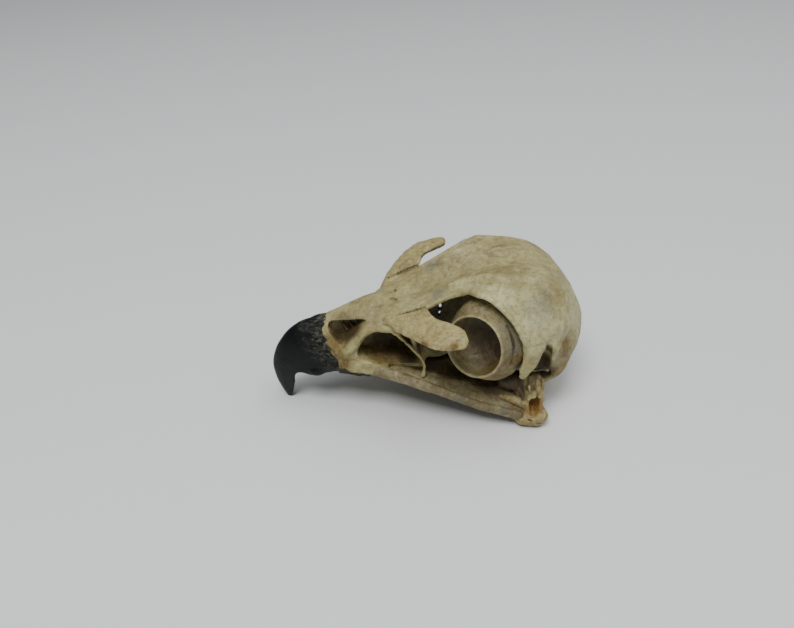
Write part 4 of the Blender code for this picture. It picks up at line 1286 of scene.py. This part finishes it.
# %% The jaw joints
SHAFT = [(25.4, 17.2, 3.4, 2.6), (25.2, 17.0, 6.8, 2.4), (25.2, 16.4, 9.8, 2.1), (25.8, 15.4, 12.6, 1.6)]
FRONT_ARM = [(17.4, 15.0, 7.2, 0.5), (19.6, 15.8, 6.9, 1.0), (22.4, 16.8, 6.7, 1.5), (24.4, 17.4, 6.6, 2.0)]
BROKEN_HOLES = [  # (x, out, up), half its width and half its height
    ((28.3, 20.4, 3.6), 0.45, 0.55),
    ((26.6, 20.7, 2.0), 0.9, 0.35),
    ((24.2, 19.9, 2.8), 0.5, 0.3),
    ((21.6, 19.2, 7.0), 0.5, 0.5),
    ((27.9, 19.4, 1.0), 0.5, 0.3),
]
HOLE_REACH = 0.8         # mm: half the depth of each hole
STRANDS = [  # low end, high end, radius
    ((22.7, 18.4, 7.6), (21.4, 18.0, 11.8), 0.4),
    ((23.6, 18.9, 9.0), (23.8, 18.5, 12.8), 0.25),
    ((24.4, 19.0, 9.9), (23.6, 18.6, 12.4), 0.3),
    ((25.0, 19.0, 10.0), (25.6, 18.2, 13.0), 0.25),
    ((26.5, 18.7, 9.4), (25.2, 18.2, 12.2), 0.3),
    ((27.2, 18.0, 7.8), (27.2, 17.0, 13.4), 0.35),
]
SAG = 0.2                # mm: how far a strand's middle stands off the straight line
FOOT = 0.3               # mm: how much thicker a strand is at its low end
WAIST = 0.8              # its middle is this much of its radius


def quadrate_clay():
    """The joint: knobs, shaft and arm, lumps of dried tissue, hollows, broken holes and strands."""
    clay = Clay((17, 8, -0.6), (30.5, 22.5, 17.6), FINE)
    steps = [
        (ADD, "the outer knob", egg((26.0, 17.3, 2.5), (2.9, 3.4, 2.6)), 0.3),
        (ADD, "the front knob", egg((23.4, 18.0, 1.9), (2.6, 2.0, 1.7)), 0.8),
        (ADD, "the rear knob", egg((27.3, 18.9, 3.4), (1.7, 1.9, 1.6)), 0.6),
        (ADD, "the shaft", rod(SHAFT), 1.2),
        (ADD, "the arm towards the eye", rod(FRONT_ARM), 1.0),
        (ADD, "the arm's root", egg((22.4, 16.2, 9.2), (1.8, 1.6, 1.8)), 0.8),
        (ADD, "dried muscle in front", egg((20.6, 13.4, 10.8), (4.4, 2.6, 2.6), 10), 0.8),
        (ADD, "dried muscle above", egg((23.6, 15.6, 11.6), (2.4, 2.2, 2.4)), 0.8),
        (ADD, "dried muscle behind", egg((26.2, 16.6, 10.8), (1.9, 1.7, 2.4)), 0.8),
        (CARVE, "the hollow of the shaft", egg((25.4, 20.4, 7.4), (1.6, 3.8, 3.0), 4), 0.3),
        (CARVE, "the hollow over the knobs", egg((25.2, 20.4, 5.2), (1.0, 2.6, 1.7), 10), 0.4),
    ]
    for place, wide, high in BROKEN_HOLES:
        steps.append((CARVE, "a broken hole", egg(place, (wide, HOLE_REACH, high)), 0.25))
    for low, high, radius in STRANDS:
        middle = [(a + b) / 2 + SAG for a, b in zip(low, high)]
        strand = rod([(*low, radius + FOOT), (*middle, radius * WAIST), (*high, radius)])
        steps.append((ADD, "a strand", strand, 0.5))
    clay.model(steps)
    clay.field = np.maximum(clay.field, -clay.everywhere()[2])     # flat where it stands on the floor
    return clay


# %% [markdown]
# The tissue on the joint dried in upright shreds. So the noise that breaks up its brown is drawn out in
# height and squeezed from front to back.

# %% Dried skin on the jaw joints
DRIED_FROM = 9.6         # mm above the floor
DRIED_RAMP = 1.5         # mm until it is thick
DRIED_WANDER = 1.2       # mm: how much its border wanders
DRIED_MOST = 0.85        # the most that this skin covers
DEEP_X, DEEP_UP = 23.4, 8.4      # ahead of this x and above this height the tissue is thick


def dried(points):
    """Brown shreds of dried skin on the upper part of the jaw joint."""
    wander = DRIED_WANDER * grain(points * (1.6, 1, 0.5), 0.9, 17)
    high = (points[:, 2] - DRIED_FROM + wander) / DRIED_RAMP
    inner = (DEEP_X - points[:, 0]) * (points[:, 2] > DEEP_UP)
    shred = np.clip(0.5 + 1.1 * grain(points * (1.8, 1, 0.35), 0.8, 19), 0, 1)
    return np.clip(np.maximum(np.minimum(high, DRIED_MOST) * shred, inner), 0, 1)


# %% The cheeks, the palate and the joints, on both sides
CHEEK_STAINS = {
    "grey": [(7.4, 16.6, 8.8, 1.2), (17.8, 18.4, 5.0, 1.2)],        # smudges on the bars
    # the tan darkens the bars' middle and rear: partly soil, partly painted shade, for the bars face down,
    # away from the light
    "tan": [(5, 14.5, 10, 4), (10, 16, 8, 5), (16, 17, 6, 6), (22, 17, 5, 5)],
}
JOINT_STAINS = {"warm": [(25.4, 18.2, 6.4, 2.4)]}     # fat in the hollow of the shaft
for side_name in SIDES:
    add_bone("cheek_bar_bone", side_name, cheek_clay(), SHADED_PALATE_BONE, ["cheek_bar"],
             stains=CHEEK_STAINS)
    add_bone("palatine_bone", side_name, palatine_clay(), SHADED_PALATE_BONE, ["palatine"],
             brown=skin_and_shade_of_palate)
    add_bone("pterygoid_bone", side_name, pterygoid_clay(), SHADED_PALATE_BONE, ["pterygoid"])
    add_bone("jaw_joint_bone", side_name, quadrate_clay(), JOINT_BONE, ["quadrate"],
             brown=dried, stains=JOINT_STAINS, rough=pitted)

# %% [markdown]
# ## Floor and light
#
# The skull lies on a sheet of pale paper without a visible end. Its soft shadow says that the main light
# was large and stood in front of the skull and to its left, like a window, and that a wide, even one came
# from above, like a pale ceiling. Two square area lamps stand for them, and a weak, slightly blue sky fills
# the shadows. Lamps of this size make a shadow soft, but sharper where the bone is near the paper.

# %% Floor and light
FLOOR_SIZE = 4           # metres, so that its edge is far outside the picture
SKY_STRENGTH = 0.24
LIGHTS = [  # name, place in metres, side in metres, watts
    ("Window", (-0.16, -0.36, 0.74), 0.34, 5.6),
    ("Ceiling", (0.35, 0.0, 0.9), 0.9, 5.2),
]

bpy.ops.mesh.primitive_plane_add(size=FLOOR_SIZE)
floor = bpy.context.object
floor.name = "Floor"
# Uncoated paper is pressed from pale fibres: matt, nearly white, and without any highlight.
paper, tree, shader = new_look("Pale paper", 0.6)
shader.inputs["Base Color"].default_value = linear("#DCDEDE")
floor.data.materials.append(paper)

sky = bpy.data.worlds.new("Sky")
bpy.context.scene.world = sky
sky.use_nodes = True
sky.node_tree.nodes["Background"].inputs["Color"].default_value = linear("#F4F6FA")
sky.node_tree.nodes["Background"].inputs["Strength"].default_value = SKY_STRENGTH
for name, place, size, power in LIGHTS:
    light = bpy.data.lights.new(name, "AREA")
    light.size, light.energy = size, power
    lamp = bpy.data.objects.new(name, light)
    lamp.location = place
    lamp.rotation_euler = (-Vector(place)).to_track_quat("-Z", "Y").to_euler()
    bpy.context.scene.collection.objects.link(lamp)
